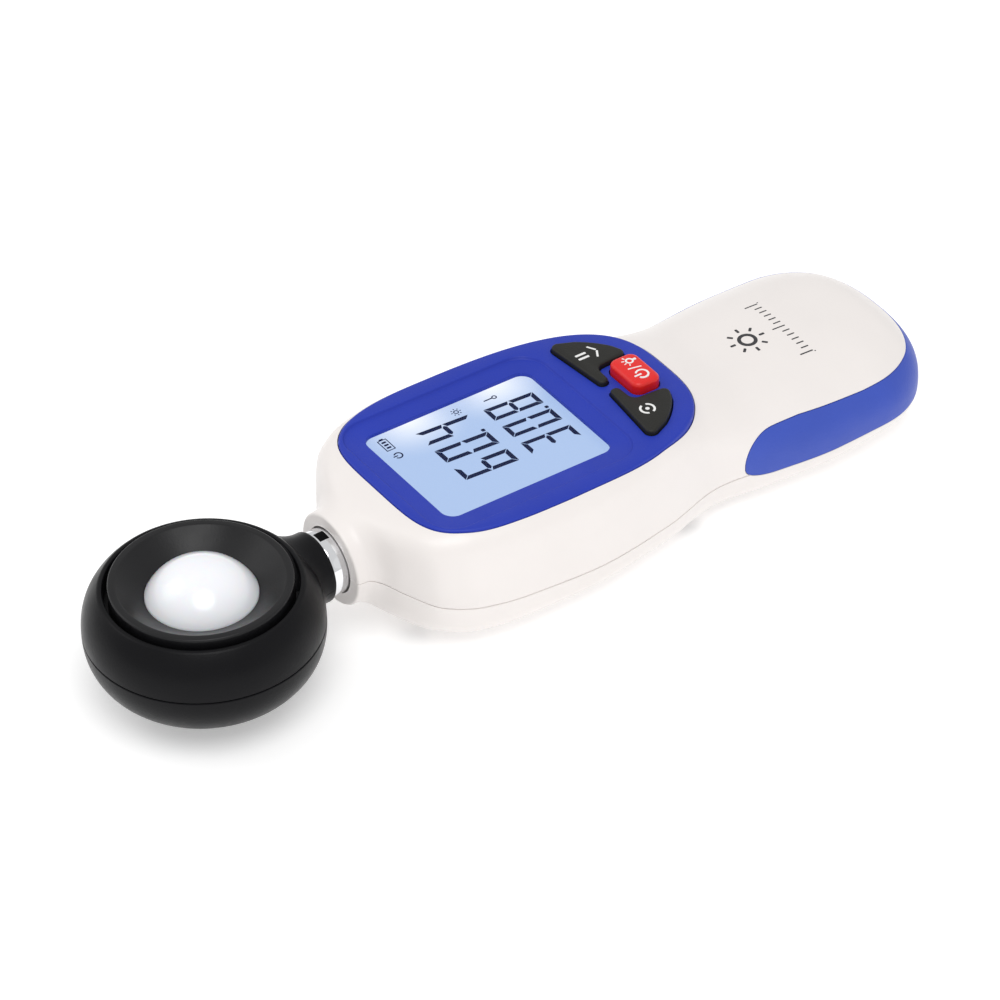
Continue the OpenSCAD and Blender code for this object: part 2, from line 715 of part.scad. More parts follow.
// The head's screws stand on this radius.
head_screw_at = 17.2;
head_screw_r = 1;
head_screw_low = 6.5;
head_screw_head_r = 1.9;
head_screw_head_h = 1.2;
head_screw_top = 17.5;
module at_head_screws() {
  for (a = [90, 210, 330])
    translate([head_screw_at * cos(a), head_y + head_screw_at * sin(a), 0]) children();
}
module head_upper_shell() {
  color([0.13, 0.13, 0.14]) difference() {
    union() {
      head_turned(concat([[0, head_seam_z + head_seam_half]],
        head_arc(head_seam_z + head_seam_half, lip_z, 0, 14),
        [[lip_r - 0.5, lip_z], [lip_r - 0.7, groove_z], [0, groove_z]]));
      intersection() {
        head_stem();
        translate([-big / 2, 0, head_seam_z + head_seam_half]) cube(big);
      }
    }
    difference() {
      head_cavity_upper();
      at_head_screws() translate([0, 0, head_seam_z + head_seam_half]) cylinder(r = 2.4, h = 10, $fn = 32);
    }
    at_head_screws() cylinder(r = head_screw_r + pilot_gap, h = head_screw_top + 0.3, $fn = 32);
    stem_hollow();
    translate([0, head_y, 0]) cylinder(r = ring_hole_r, h = 30, $fn = 96);
    translate([0, head_y, dish_low]) cylinder(r = dish_r + 0.05, h = 30, $fn = 96);
  }
}
module head_cavity_upper() {
  head_turned([[0, 0], [head_radius(head_seam_z, head_wall), 0],
    [head_radius(head_seam_z, head_wall), head_seam_z],
    [head_radius(17.5, head_wall), 17.5], [head_radius(ceiling_z, head_wall), ceiling_z],
    [0, ceiling_z]]);
}
module head_lower_shell() {
  color([0.13, 0.13, 0.14]) difference() {
    union() {
      head_turned(concat([for (i = [0 : 16])
        let (z = head_seam_z - head_seam_half - (head_h - 0.1) * sin(90 * i / 16)) [head_radius(z, 0), z]],
        [[0, head_seam_z - (head_h - 0.1) - head_seam_half], [0, head_seam_z - head_seam_half]]));
      intersection() {
        head_stem();
        translate([-big / 2, 0, head_seam_z - head_seam_half - big]) cube(big);
      }
    }
    difference() {
      head_turned([[0, 2.6], [head_radius(2.6, head_wall), 2.6], [head_radius(4, head_wall), 4],
        [head_radius(7, head_wall), 7], [head_radius(11, head_wall), 11],
        [head_radius(head_seam_z, head_wall), head_seam_z],
        [head_radius(head_seam_z, head_wall), 20], [0, 20]]);
      at_head_screws() cylinder(r = 2.6, h = head_seam_z, $fn = 32);
    }
    stem_hollow();
    at_head_screws() {
      cylinder(r = head_screw_head_r + 0.2, h = head_screw_low + head_screw_head_h, $fn = 32);
      cylinder(r = head_screw_r + 0.15, h = 30, $fn = 32);
    }
  }
}
module dish_ring() {
  color([0.1, 0.1, 0.11]) head_turned([[dish_r, dish_low], [dish_r, 25.4], [dish_r - 0.43, 25.83],
    [16, 25.83], [15.5, 25.4], [dome_r + 0.1, 22.4], [dome_r + 0.1, 21.1], [9.6, 21.1], [9.6, dish_low]]);
}
dome_base_z = 22.45;
dome_flange_z = 21.12;
dome_ball_r = (dome_r^2 + dome_rise^2) / (2 * dome_rise);
dome_wall = 1.5;
module diffuser_dome() {
  inner_a = asin(9 / (dome_ball_r - dome_wall));
  outer_a = asin(dome_r / dome_ball_r);
  cz = dome_base_z + dome_rise - dome_ball_r;
  color([0.96, 0.96, 0.98]) head_turned(concat(
    [[9, dome_flange_z], [dome_r, dome_flange_z]],
    [for (i = [0 : 12]) let (a = outer_a * (1 - i / 12)) [dome_ball_r * sin(a), cz + dome_ball_r * cos(a)]],
    [for (i = [0 : 10]) let (a = inner_a * i / 10)
      [(dome_ball_r - dome_wall) * sin(a), cz + (dome_ball_r - dome_wall) * cos(a)]]));
}
module sensor_board() {
  color([0.1, 0.4, 0.22]) translate([0, head_y, board_sensor_z])
    cylinder(r = 11.2, h = ceiling_z - board_sensor_z, $fn = 96);
}
module photodiode() {
  color([0.8, 0.75, 0.5]) translate([0, head_y, ceiling_z]) {
    cylinder(r = 4.6, h = 0.4, $fn = 64);
    cylinder(r = 4.1, h = 1.6, $fn = 64);
  }
}
module optical_filter() {
  color([0.5, 0.75, 0.5, 0.8]) translate([0, head_y, ceiling_z + 1.62])
    cylinder(r = 4.1, h = 1.2, $fn = 64);
}
module head_screws() {
  color("silver") at_head_screws() {
    difference() {
      translate([0, 0, head_screw_low]) cylinder(r = head_screw_head_r, h = head_screw_head_h, $fn = 32);
      cross_slot(2.4, 0.5, head_screw_low + 0.6);
    }
    translate([0, 0, head_screw_low + head_screw_head_h])
      cylinder(r = head_screw_r, h = head_screw_top - head_screw_low - head_screw_head_h, $fn = 32);
  }
}

front_cover();
rear_cover();
display_bezel();
display_window();
lcd_panel();
lcd_holder();
backlight_panel();
backlight_leds();
zebra_strip();
main_board();
controller_chip();
tact_switches();
temperature_sensor();
power_button();
hold_button();
mode_button();
grip_band();
battery_door();
battery_cells();
battery_springs();
battery_plates();
housing_screws();
board_screws();
neck_bush();
swivel_tube();
index_mark();
wave_washer();
stop_washer();
retaining_clip();
sensor_lead();
housing_lead();
lead_plug();
head_upper_shell();
head_lower_shell();
dish_ring();
diffuser_dome();
optical_filter();
photodiode();
sensor_board();
head_screws();
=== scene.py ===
"""Handheld light meter: visual pieces, materials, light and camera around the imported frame."""
import json
import math
from math import cos, sin, pi, radians

import bmesh
import bpy
from mathutils import Matrix, Vector


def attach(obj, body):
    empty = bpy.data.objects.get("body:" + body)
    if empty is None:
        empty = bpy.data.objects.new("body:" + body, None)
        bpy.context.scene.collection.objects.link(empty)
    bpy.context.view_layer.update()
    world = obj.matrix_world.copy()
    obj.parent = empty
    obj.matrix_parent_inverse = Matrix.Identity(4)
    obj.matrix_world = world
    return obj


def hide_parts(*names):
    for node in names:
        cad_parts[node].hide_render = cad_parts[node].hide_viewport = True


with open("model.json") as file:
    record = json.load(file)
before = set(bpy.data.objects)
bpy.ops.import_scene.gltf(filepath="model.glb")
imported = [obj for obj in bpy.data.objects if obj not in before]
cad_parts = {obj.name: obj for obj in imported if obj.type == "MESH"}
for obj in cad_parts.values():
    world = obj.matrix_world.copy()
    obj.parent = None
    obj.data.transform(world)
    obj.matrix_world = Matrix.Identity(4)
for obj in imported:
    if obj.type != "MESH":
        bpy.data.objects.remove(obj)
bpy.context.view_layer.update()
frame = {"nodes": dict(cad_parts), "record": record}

MM = 0.001

# --- camera: its place was solved from the photograph's perspective -------------------
CAMERA_AT = (-0.834978, 0.549442, 0.839749)
CAMERA_AIM = (-0.003731, 0.003569, 0.015)
CAMERA_ROLL = -2.451
CAMERA_LENS = 245.5
SENSOR_WIDTH = 36.0

# --- light: a white floor, an even sky and three round lamps, in metres and watts -----
FLOOR_GLOW = 0.32
FLOOR_HALF = 4000
FLOOR_DROP = -0.00002
WORLD_LIGHT = 0.7
LAMP_AIM = (0, 0, 0.01)
LAMPS = [
    ("key_light", (-0.38, 0.22, 1.0), 0.7, 3.95),
    ("fill_light", (0.7, 0.6, 0.8), 0.8, 1.6),
    ("low_light", (-0.9, -0.5, 0.4), 0.7, 0.1),
]

# --- the object's driving dimensions, in millimetres ----------------------------------
# Housing
AXIS_H = 16.2
TAIL_Y = -90.7
TAIL_ROUND = 18.0
TAIL_ROUND_Z = 8.0
WALL = 2.4
CAVITY_Y = 33
SEAM_GAP = 0.12
EDGE_ROUND = [(0.0, 0.2), (0.06, 0.08), (0.2, 0.0)]
NOSE_ROUND = 0.5
NECK_BORE_Y = 28
NECK_BORE_R = 8.0
NECK_LIP_R = 6.85
NECK_LIP_Y = 38.4
SCREWS = [(-11.4, 29), (11.4, 29), (-16.6, -30.5), (16.6, -30.5)]
SCREW_WELL_R = 2.2
SCREW_WELL_TOP = 7
DOOR_HALF = 15.4
DOOR_END_Y = -37.0
DOOR_TOP_Z = 6.4
DOOR_GAP = 0.2
DOOR_T = 1.3
DOOR_RIBS = 6
DOOR_RIB = (16, 0.7, 0.34)
DOOR_RIB_Y = -42.5
DOOR_RIB_PITCH = 1.6
DOOR_RIB_DEPTH = 0.35
DOOR_ARROW = [(-3.2, -54.5), (3.2, -54.5), (0, -59)]

# Grip band: its side view is a half oval in front, longer above its middle than below it
GRIP_LOW = 8.3
GRIP_TIP_Y = -41.8
GRIP_TIP_LENGTH = 8.2
GRIP_MIDDLE_Z = 11
GRIP_TIP_RISE = 6.4
GRIP_TIP_POWER = 0.75
GRIP_PROUD = 0.03
GRIP_DEPTH = 1.1
GRIP_GAP = 0.14

# Display face: a frame with its origin on the bezel's top plane at the display's centre
FACE_Y = 3.5
FACE_Z = 26.95
FACE_SLOPE = 2.29
BEZEL_HALF = 22.8
BEZEL_UP = 25.1
BEZEL_DOWN = 41.6
BEZEL_UP_POWERS = (4.5, 2.7)
BEZEL_DOWN_POWERS = (3.2, 2.8)
BEZEL_FOOT = -2.3
RECESS = (38, 46, 6)
OPENING = (29.6, 38, 2.6)
WINDOW = (34, 42, 1.5)
WINDOW_Y = -0.2
WINDOW_TOP = -1.5
INK_Z = -2.34
# Readings: figures, place, digit width and height, bar thickness, pitch
READINGS = [("60.4", (-5.25, -2.95), 3.25, 10.75, 1.0, 6.4),
            ("30.8", (-5.8, -17.0), 3.05, 10.0, 0.95, 6.2)]
LCD_SUN_AT = (13.2, -2.0)
LCD_PIN_AT = (12.9, -10.6)
LCD_POWER_AT = (8.4, 14.5)
LCD_BATTERY_AT = (12.3, 14.6)
LAMP_SPOTS_Y = (-8.8, 10.5)
LAMP_SPOT_X = 17.5
LAMP_SPOT_Z = 24
LAMP_REACH = 13
GLOW_STRENGTH = 1.12

# Keys
KEY_FOOT = -4.4
KEY_FLANGE = 0.3
KEY_PROUD = 1.2
POWER_PROUD = 2.6
POWER_Y = -34.3
POWER_KEY = (9.8, 6.2, 1.8)
HOLD_SIGN_AT = (10.1, -29.2)
MODE_SIGN_AT = (-10.3, -29.9)

# Swivel and head
COLLAR = (39.0, 42.9, 6.58)
TUBE_R = 4.5
STEM_Y = 43.0
STEM_END_Y = 54.0
STEM_R = 7.15
STEM_END_ROUND = 0.5
STEM_FLARE_Y = 43.9
STEM_FLARE_LENGTH = 5.2
STEM_FLARE_WIDE = 4.6
STEM_FLARE_TALL = 1.0
HEAD_Y = 68.0
HEAD_R = 22.9
HEAD_SEAM_Z = 15.2
HEAD_H = 14.84
HEAD_POWER = 2.33
HEAD_TOP_Z = 24.5
HEAD_WALL = 2
HEAD_EDGE = [(0.06, 0.22), (0.12, 0.08), (0.28, 0.0)]
HEAD_SCREW_R = 17.2
HEAD_BOSS_R = 2.6
HEAD_WELL = (2.1, 7.7)
HEAD_PILOT = (1.15, 20)
DISH_OPEN_R = 10.4
DISH_FOOT_Z = 20
DISH_R = 17.4
DISH_RIM = (17.0, 25.43, 0.4)
DISH_LIP = (16.1, 25.33, 0.5)
DISH_CONE = ((15.81, 25.73), (10.8, 22.4))
DISH_BULGE = 0.12
DISH_LEDGE = (9.6, 21.1)
DOME_R = 10.7
DOME_RISE = 6.5
DOME_BASE_Z = 22.45
DOME_WALL = 1.5

# Printing on the handle
SUN_Y = -57.5
SCALE_Y = -66.5
SCALE_STROKES = 13
SCALE_PITCH = 1.5

# Housing stations: y, half width, top, bottom, seam height, and the exponents that
# square the section off (upper x, upper z, lower x, lower z).
STATIONS = [
    (TAIL_Y, 22.8, 18.0, 2.0, 10.6, 2.5, 2.3, 2.6, 2.6),
    (-76, 23.2, 20.4, 0.6, 10.6, 2.5, 2.3, 2.6, 2.6),
    (-62, 23.4, 21.8, -0.2, 10.2, 2.5, 2.3, 2.8, 2.8),
    (-48, 21.8, 22.6, -0.4, 9.6, 2.8, 2.5, 2.8, 2.8),
    (-36.5, 19.9, 25.3, -0.4, 9.0, 3.5, 3.5, 2.8, 2.8),
    (-22, 23.3, 27.3, -0.4, 9.0, 6.0, 6.0, 2.8, 2.8),
    (-2, 25.9, 27.8, -0.4, 9.6, 7.0, 6.0, 2.8, 3.0),
    (12, 25.6, 28.4, -0.4, 10.6, 7.0, 6.0, 3.0, 3.0),
    (21.5, 23.9, 28.3, 0.0, 11.2, 7.0, 6.0, 3.0, 3.0),
    (28.5, 20.6, 27.6, 1.8, 12.4, 6.0, 5.5, 2.8, 2.8),
    (33, 14.8, 27.0, 4.2, 14.2, 4.0, 3.5, 2.5, 2.5),
    (35.5, 10.8, 26.3, 6.0, 15.4, 2.5, 2.5, 2.2, 2.2),
    (37.5, 9.6, 25.8, 6.6, AXIS_H - 0.1, 2, 2, 2, 2),
    (39.8, 9.4, AXIS_H + 9.4, AXIS_H - 9.4, AXIS_H, 2, 2, 2, 2),
]
LAST = len(STATIONS) - 1
NOSE_Y = STATIONS[LAST][0]


# --- the housing's sections -----------------------------------------------------------
def rate(k, i):
    """Slope of column k between stations i and i + 1."""
    a, b = STATIONS[i], STATIONS[i + 1]
    return (b[k] - a[k]) / (b[0] - a[0])


def tangent(k, i):
    """Slope of column k at station i, flat where the column turns back."""
    if i == 0:
        return rate(k, 0)
    if i == LAST:
        return rate(k, LAST - 1)
    before, after = rate(k, i - 1), rate(k, i)
    return 0 if before * after <= 0 else 2 * before * after / (before + after)


def column(k, y):
    """Column k of the stations, carried smoothly to y."""
    i = max([0] + [j for j in range(LAST) if y >= STATIONS[j][0]])
    a, b = STATIONS[i], STATIONS[i + 1]
    h = b[0] - a[0]
    t = (y - a[0]) / h
    return ((2 * t**3 - 3 * t**2 + 1) * a[k] + (t**3 - 2 * t**2 + t) * h * tangent(k, i)
            + (3 * t**2 - 2 * t**3) * b[k] + (t**3 - t**2) * h * tangent(k, i + 1))


def tail_cap(y, length, p):
    """Share of the full section that is left at y, where the tail rounds off."""
    u = min(max((y - TAIL_Y) / length, 0), 1)
    return (1 - (1 - u) ** p) ** (1 / p)


def signed_pow(v, p):
    return math.copysign(abs(v) ** p, v)


def skin_point(y, a, t=0.0):
    """A point of the housing's section at y, inset by t, at a degrees from +X towards up."""
    up = 0 <= a <= 180
    seam = column(4, y)
    half = (column(1, y) - t) * tail_cap(y - t, TAIL_ROUND, 2.3)
    reach = column(2, y) - t - seam if up else seam - t - column(3, y)
    rise = reach * tail_cap(y - t, TAIL_ROUND_Z, 2.2)
    px, pz = (column(5, y), column(6, y)) if up else (column(7, y), column(8, y))
    s, c = sin(radians(a)), cos(radians(a))
    s = 0.0 if abs(s) < 1e-9 else s
    c = 0.0 if abs(c) < 1e-9 else c
    return Vector((half * signed_pow(c, 2 / px), y, max(seam + rise * signed_pow(s, 2 / pz), t)))


def roof_z(x, y):
    """Height of the upper cover's outside over (x, y)."""
    half = column(1, y) * tail_cap(y, TAIL_ROUND, 2.3)
    seam = column(4, y)
    rise = (column(2, y) - seam) * tail_cap(y, TAIL_ROUND_Z, 2.2)
    c = min(abs(x) / half, 1)
    return seam + rise * (1 - c ** column(5, y)) ** (1 / column(6, y))


def ring_places(start, end, tail_rings, body_rings, first=2.0):
    """Y positions of the rings: dense round the tail, even along the body."""
    step = (90 - first) / (tail_rings - 1)
    tail = [start + TAIL_ROUND * (1 - cos(radians(first + step * i))) for i in range(tail_rings)]
    knee = start + TAIL_ROUND
    return tail + [knee + (end - knee) * (i + 1) / body_rings for i in range(body_rings)]


# --- mesh helpers ---------------------------------------------------------------------
def face_frame():
    """Frame of the display face."""
    return Matrix.Translation((0, FACE_Y, FACE_Z)) @ Matrix.Rotation(radians(FACE_SLOPE), 4, "X")


def make(name, points, faces, paint=None, smooth=35, place=None):
    """A mesh object from points in millimetres, optionally moved by a matrix in millimetres."""
    mesh = bpy.data.meshes.new(name)
    if place is not None:
        points = [place @ Vector(p) for p in points]
    mesh.from_pydata([tuple(c * MM for c in p) for p in points], [], faces)
    obj = bpy.data.objects.new(name, mesh)
    bpy.context.scene.collection.objects.link(obj)
    face_outward(obj)
    return finish_mesh(obj, paint, smooth)


def face_outward(obj):
    """Merges doubled points and turns every face outward."""
    bm = bmesh.new()
    bm.from_mesh(obj.data)
    bmesh.ops.remove_doubles(bm, verts=bm.verts, dist=1e-8)
    bmesh.ops.dissolve_degenerate(bm, edges=bm.edges, dist=1e-8)
    bmesh.ops.recalc_face_normals(bm, faces=bm.faces)
    if bm.calc_volume(signed=True) < 0:
        bmesh.ops.reverse_faces(bm, faces=bm.faces)
    bm.to_mesh(obj.data)
    bm.free()


def finish_mesh(obj, paint=None, smooth=35):
    """Shades smooth up to an angle and sets the material."""
    for face in obj.data.polygons:
        face.use_smooth = len(face.vertices) < 9
    obj.data.set_sharp_from_angle(angle=radians(smooth))
    if paint is not None:
        obj.data.materials.clear()
        obj.data.materials.append(paint)
    return obj


def rings_faces(m, n, close=False):
    """Faces between m rings of n points, with end caps or with the last ring joined to the first."""
    faces = []
    for i in range(m if close else m - 1):
        for j in range(n):
            k, i2 = (j + 1) % n, (i + 1) % m
            faces.append((i * n + j, i * n + k, i2 * n + k, i2 * n + j))
    if not close:
        faces.append(tuple(range(n - 1, -1, -1)))
        faces.append(tuple((m - 1) * n + j for j in range(n)))
    return faces


def loft(name, rings, paint=None, smooth=35, place=None, close=False):
    """A closed solid through rings of equal length."""
    points = [p for ring in rings for p in ring]
    return make(name, points, rings_faces(len(rings), len(rings[0]), close), paint, smooth, place)


def join(obj, other, how):
    """Boolean of two closed meshes, applied at once; the second one is used up."""
    mod = obj.modifiers.new("combine", "BOOLEAN")
    mod.object = other
    mod.operation = how
    mod.solver = "MANIFOLD"
    depsgraph = bpy.context.evaluated_depsgraph_get()
    mesh = bpy.data.meshes.new_from_object(obj.evaluated_get(depsgraph))
    obj.modifiers.clear()
    obj.data = mesh
    bpy.data.objects.remove(other)
    return obj


def cut(obj, *cutters):
    for cutter in cutters:
        join(obj, cutter, "DIFFERENCE")
    return obj


def block(low, high, place=None):
    (x0, y0, z0), (x1, y1, z1) = low, high
    ring = [(x0, y0), (x1, y0), (x1, y1), (x0, y1)]
    return loft("block", [[(x, y, z0) for x, y in ring], [(x, y, z1) for x, y in ring]], place=place)


def prism(outline, low, high, place=None):
    return loft("prism", [[(x, y, z) for x, y in outline] for z in (low, high)], place=place)


def circle(r, n=96, at=(0, 0)):
    return [(at[0] + r * cos(2 * pi * i / n), at[1] + r * sin(2 * pi * i / n)) for i in range(n)]


def revolve(name, profile, paint=None, n=192, place=None, smooth=35):
    """Turns a closed profile of (radius, height) about Z; points on the axis are merged."""
    rings = [[(x, y, z) for x, y in circle(r, n)] for r, z in profile]
    return loft(name, rings, paint, smooth, place, close=True)


def along_y():
    """Stands Z along +Y on the swivel axis."""
    return Matrix.Translation((0, 0, AXIS_H)) @ Matrix.Rotation(radians(-90), 4, "X")


def fillet(outline, radii, steps=8):
    """Rounds the corners of a closed outline; radii has one value per point."""
    result = []
    for i, (x, y) in enumerate(outline):
        p, q = Vector(outline[i - 1]), Vector(outline[(i + 1) % len(outline)])
        c, r = Vector((x, y)), radii[i]
        if r <= 0:
            result.append((x, y))
            continue
        a, b = (p - c).normalized(), (q - c).normalized()
        half = a.angle(b) / 2
        reach = min(r / math.tan(half), 0.48 * (p - c).length, 0.48 * (q - c).length)
        r = reach * math.tan(half)
        centre = c + (a + b).normalized() * (r / sin(half))
        start, end = c + a * reach - centre, c + b * reach - centre
        turn = start.angle_signed(end)
        for k in range(steps + 1):
            v = start.copy()
            v.rotate(Matrix.Rotation(-turn * k / steps, 2))
            result.append(tuple(centre + v))
    return result


def shrink(outline, t):
    """Moves a closed outline inwards by t, each point along its own corner's bisector."""
    n = len(outline)
    area = sum(outline[i - 1][0] * outline[i][1] - outline[i][0] * outline[i - 1][1] for i in range(n))
    turn = 1 if area > 0 else -1
    result = []
    for i in range(n):
        p, c, q = Vector(outline[i - 1]), Vector(outline[i]), Vector(outline[(i + 1) % n])
        a, b = (c - p).normalized(), (q - c).normalized()
        na, nb = Vector((-a.y, a.x)) * turn, Vector((-b.y, b.x)) * turn
        m = (na + nb).normalized()
        result.append(tuple(c + m * (t / max(m.dot(na), 0.4))))
    return result


def round_top(high, r, steps=6):
    """(height, inset) pairs of a quarter round that ends at a top of height high."""
    return [(high - r * (1 - sin(pi / 2 * i / steps)), r * (1 - cos(pi / 2 * i / steps)))
            for i in range(steps + 1)]


def pad(name, outline, levels, paint, place, crown=0.0):
    """An outline raised through (height, inset) levels, its top drawn in to a soft crown."""
    rings = [[(x, y, z) for x, y in shrink(outline, t)] for z, t in levels]
    if crown:
        top, inset = levels[-1]
        edge = shrink(outline, inset)
        cx, cy = sum(p[0] for p in edge) / len(edge), sum(p[1] for p in edge) / len(edge)
        for k in (0.85, 0.6, 0.35, 0.12):
            height = top + crown * (1 - k * k)
            rings.append([(cx + (x - cx) * k, cy + (y - cy) * k, height) for x, y in edge])
    return loft(name, rings, paint, 40, place)


# --- materials ------------------------------------------------------------------------
def node_material(name):
    mat = bpy.data.materials.new(name)
    mat.use_nodes = True
    tree = mat.node_tree
    return mat, tree, tree.nodes["Principled BSDF"]


def noise(tree, scale, detail=3.0, rough=0.55, stretch=None):
    coords = tree.nodes.new("ShaderNodeTexCoord")
    tex = tree.nodes.new("ShaderNodeTexNoise")
    tex.inputs["Scale"].default_value = scale
    tex.inputs["Detail"].default_value = detail
    tex.inputs["Roughness"].default_value = rough
    source = coords.outputs["Object"]
    if stretch:
        mapping = tree.nodes.new("ShaderNodeMapping")
        mapping.inputs["Scale"].default_value = stretch
        tree.links.new(source, mapping.inputs["Vector"])
        source = mapping.outputs["Vector"]
    tree.links.new(source, tex.inputs["Vector"])
    return tex.outputs["Fac"]


def span(tree, value, low, high, from_low=0.3, from_high=0.7):
    node = tree.nodes.new("ShaderNodeMapRange")
    node.inputs["From Min"].default_value = from_low
    node.inputs["From Max"].default_value = from_high
    node.inputs["To Min"].default_value = low
    node.inputs["To Max"].default_value = high
    tree.links.new(value, node.inputs["Value"])
    return node.outputs["Result"]


def blend_colour(tree, fac, a, b):
    node = tree.nodes.new("ShaderNodeMix")
    node.data_type = "RGBA"
    node.inputs["A"].default_value = (*a, 1)
    node.inputs["B"].default_value = (*b, 1)
    tree.links.new(fac, node.inputs["Factor"])
    return node.outputs["Result"]


def finish(name, colour, rough, grain=2600, depth=0.02, vary=0.04, metallic=0.0, coat=0.0,
           specular=0.5, spread=0.05, stretch=None, alpha=1.0, sheen=0.0, subsurface=0.0):
    """A moulded, plated or printed surface: fine grain, uneven gloss, faint colour drift."""
    mat, tree, shader = node_material(name)
    drift = noise(tree, 60, 2)
    fine = noise(tree, grain, 3, 0.6, stretch)
    dark = tuple(c * (1 - vary) for c in colour)
    light = tuple(min(c * (1 + vary), 1) for c in colour)
    tone = blend_colour(tree, span(tree, drift, 0, 1), dark, light)
    tree.links.new(tone, shader.inputs["Base Color"])
    gloss = span(tree, noise(tree, 220, 4), rough - spread, rough + spread)
    tree.links.new(gloss, shader.inputs["Roughness"])
    bump = tree.nodes.new("ShaderNodeBump")
    bump.inputs["Strength"].default_value = 1.0
    bump.inputs["Distance"].default_value = depth * MM
    tree.links.new(fine, bump.inputs["Height"])
    tree.links.new(bump.outputs["Normal"], shader.inputs["Normal"])
    shader.inputs["Metallic"].default_value = metallic
    shader.inputs["Coat Weight"].default_value = coat
    shader.inputs["Coat Roughness"].default_value = 0.12
    shader.inputs["Specular IOR Level"].default_value = specular
    shader.inputs["Alpha"].default_value = alpha
    shader.inputs["Sheen Weight"].default_value = sheen
    shader.inputs["Subsurface Weight"].default_value = subsurface
    shader.inputs["Subsurface Scale"].default_value = 0.002
    return mat


def hot_spot(tree, at, reach, fall):
    """A factor that falls from 1 at a place to 0 at its reach."""
    coords = tree.nodes.new("ShaderNodeTexCoord")
    dist = tree.nodes.new("ShaderNodeVectorMath")
    dist.operation = "DISTANCE"
    dist.inputs[1].default_value = tuple(c * MM for c in at)
    tree.links.new(coords.outputs["Object"], dist.inputs[0])
    power = tree.nodes.new("ShaderNodeMath")
    power.operation = "POWER"
    power.inputs[1].default_value = fall
    tree.links.new(span(tree, dist.outputs["Value"], 1.0, 0.0, 0.0, reach * MM), power.inputs[0])
    return power.outputs[0]


def glow(name):
    """The lit display: pale blue, brighter round two of the lamps along its right edge."""
    mat, tree, shader = node_material(name)
    both = tree.nodes.new("ShaderNodeMath")
    both.operation = "ADD"
    both.use_clamp = True
    for y, socket in zip(LAMP_SPOTS_Y, both.inputs):
        tree.links.new(hot_spot(tree, (LAMP_SPOT_X, y, LAMP_SPOT_Z), LAMP_REACH, 1.6), socket)
    colour = blend_colour(tree, both.outputs[0], (0.46, 0.615, 0.92), (1.3, 1.3, 1.3))
    shader.inputs["Base Color"].default_value = (0.02, 0.03, 0.04, 1)
    tree.links.new(colour, shader.inputs["Emission Color"])
    shader.inputs["Emission Strength"].default_value = GLOW_STRENGTH
    tree.links.new(span(tree, noise(tree, 500), 0.3, 0.4), shader.inputs["Roughness"])
    return mat


PAINT = {
    "white_shell": finish("white_shell", (0.86, 0.815, 0.79), 0.36, 1500, 0.012, 0.012, coat=0.1),
    "blue_bezel": finish("blue_bezel", (0.012, 0.036, 0.41), 0.47, 2600, 0.03, 0.05, specular=0.35),
    "blue_rubber": finish("blue_rubber", (0.03, 0.075, 0.47), 0.55, 2200, 0.05, 0.06, sheen=0.12),
    "key_red": finish("key_red", (0.74, 0.01, 0.008), 0.38, 1800, 0.02, 0.05),
    "key_dark": finish("key_dark", (0.011, 0.011, 0.009), 0.5, 2000, 0.04, 0.1, specular=0.35),
    "head_black": finish("head_black", (0.005, 0.005, 0.006), 0.33, 2400, 0.03, 0.1, specular=0.12),
    "dish_black": finish("dish_black", (0.0065, 0.0065, 0.0075), 0.36, 2400, 0.03, 0.1, specular=0.3),
    "dome_white": finish("dome_white", (0.93, 0.93, 0.98), 0.18, 900, 0.004, 0.01, coat=0.5,
                         subsurface=0.25),
    "chrome_collar": finish("chrome_collar", (0.86, 0.87, 0.89), 0.08, 900, 0.002, 0.02, metallic=1.0,
                            spread=0.03),
    "mark_black": finish("mark_black", (0.003, 0.003, 0.003), 0.5, specular=0.05),
    "ink_white": finish("ink_white", (0.85, 0.85, 0.84), 0.5, 3000, 0.01),
    "ink_dark": finish("ink_dark", (0.03, 0.03, 0.034), 0.5, 3000, 0.01),
    "lcd_ink": finish("lcd_ink", (0.006, 0.013, 0.075), 0.5, 3000, 0.004, specular=0.06),
    "clear_window": finish("clear_window", (0.02, 0.03, 0.05), 0.07, 400, 0.002, 0.01, alpha=0.12,
                           spread=0.02),
    "lcd_glass": glow("lcd_glass"),
    "white_plastic": finish("white_plastic", (0.82, 0.82, 0.8), 0.5),
    "light_guide": finish("light_guide", (0.85, 0.9, 0.95), 0.3),
    "led": finish("led", (0.95, 0.9, 0.6), 0.35),
    "elastomer": finish("elastomer", (0.7, 0.4, 0.45), 0.6, stretch=(6, 0.2, 0.2)),
    "circuit_board": finish("circuit_board", (0.012, 0.14, 0.05), 0.35, 1200, 0.02, 0.25),
    "chip_black": finish("chip_black", (0.016, 0.016, 0.017), 0.55),
    "switch_metal": finish("switch_metal", (0.6, 0.6, 0.6), 0.3, metallic=1.0),
    "cell_sleeve": finish("cell_sleeve", (0.05, 0.2, 0.08), 0.25, 1500, 0.01, 0.15, coat=0.3),
    "spring_steel": finish("spring_steel", (0.7, 0.69, 0.66), 0.25, metallic=1.0),
    "screw_steel": finish("screw_steel", (0.5, 0.5, 0.51), 0.3, 1800, 0.02, 0.1, metallic=1.0),
    "bush_plastic": finish("bush_plastic", (0.75, 0.75, 0.7), 0.4),
    "lead_black": finish("lead_black", (0.015, 0.015, 0.016), 0.5),
    "filter_green": finish("filter_green", (0.3, 0.5, 0.28), 0.1, alpha=0.8),
    "diode_gold": finish("diode_gold", (0.65, 0.5, 0.2), 0.25, metallic=1.0),
}


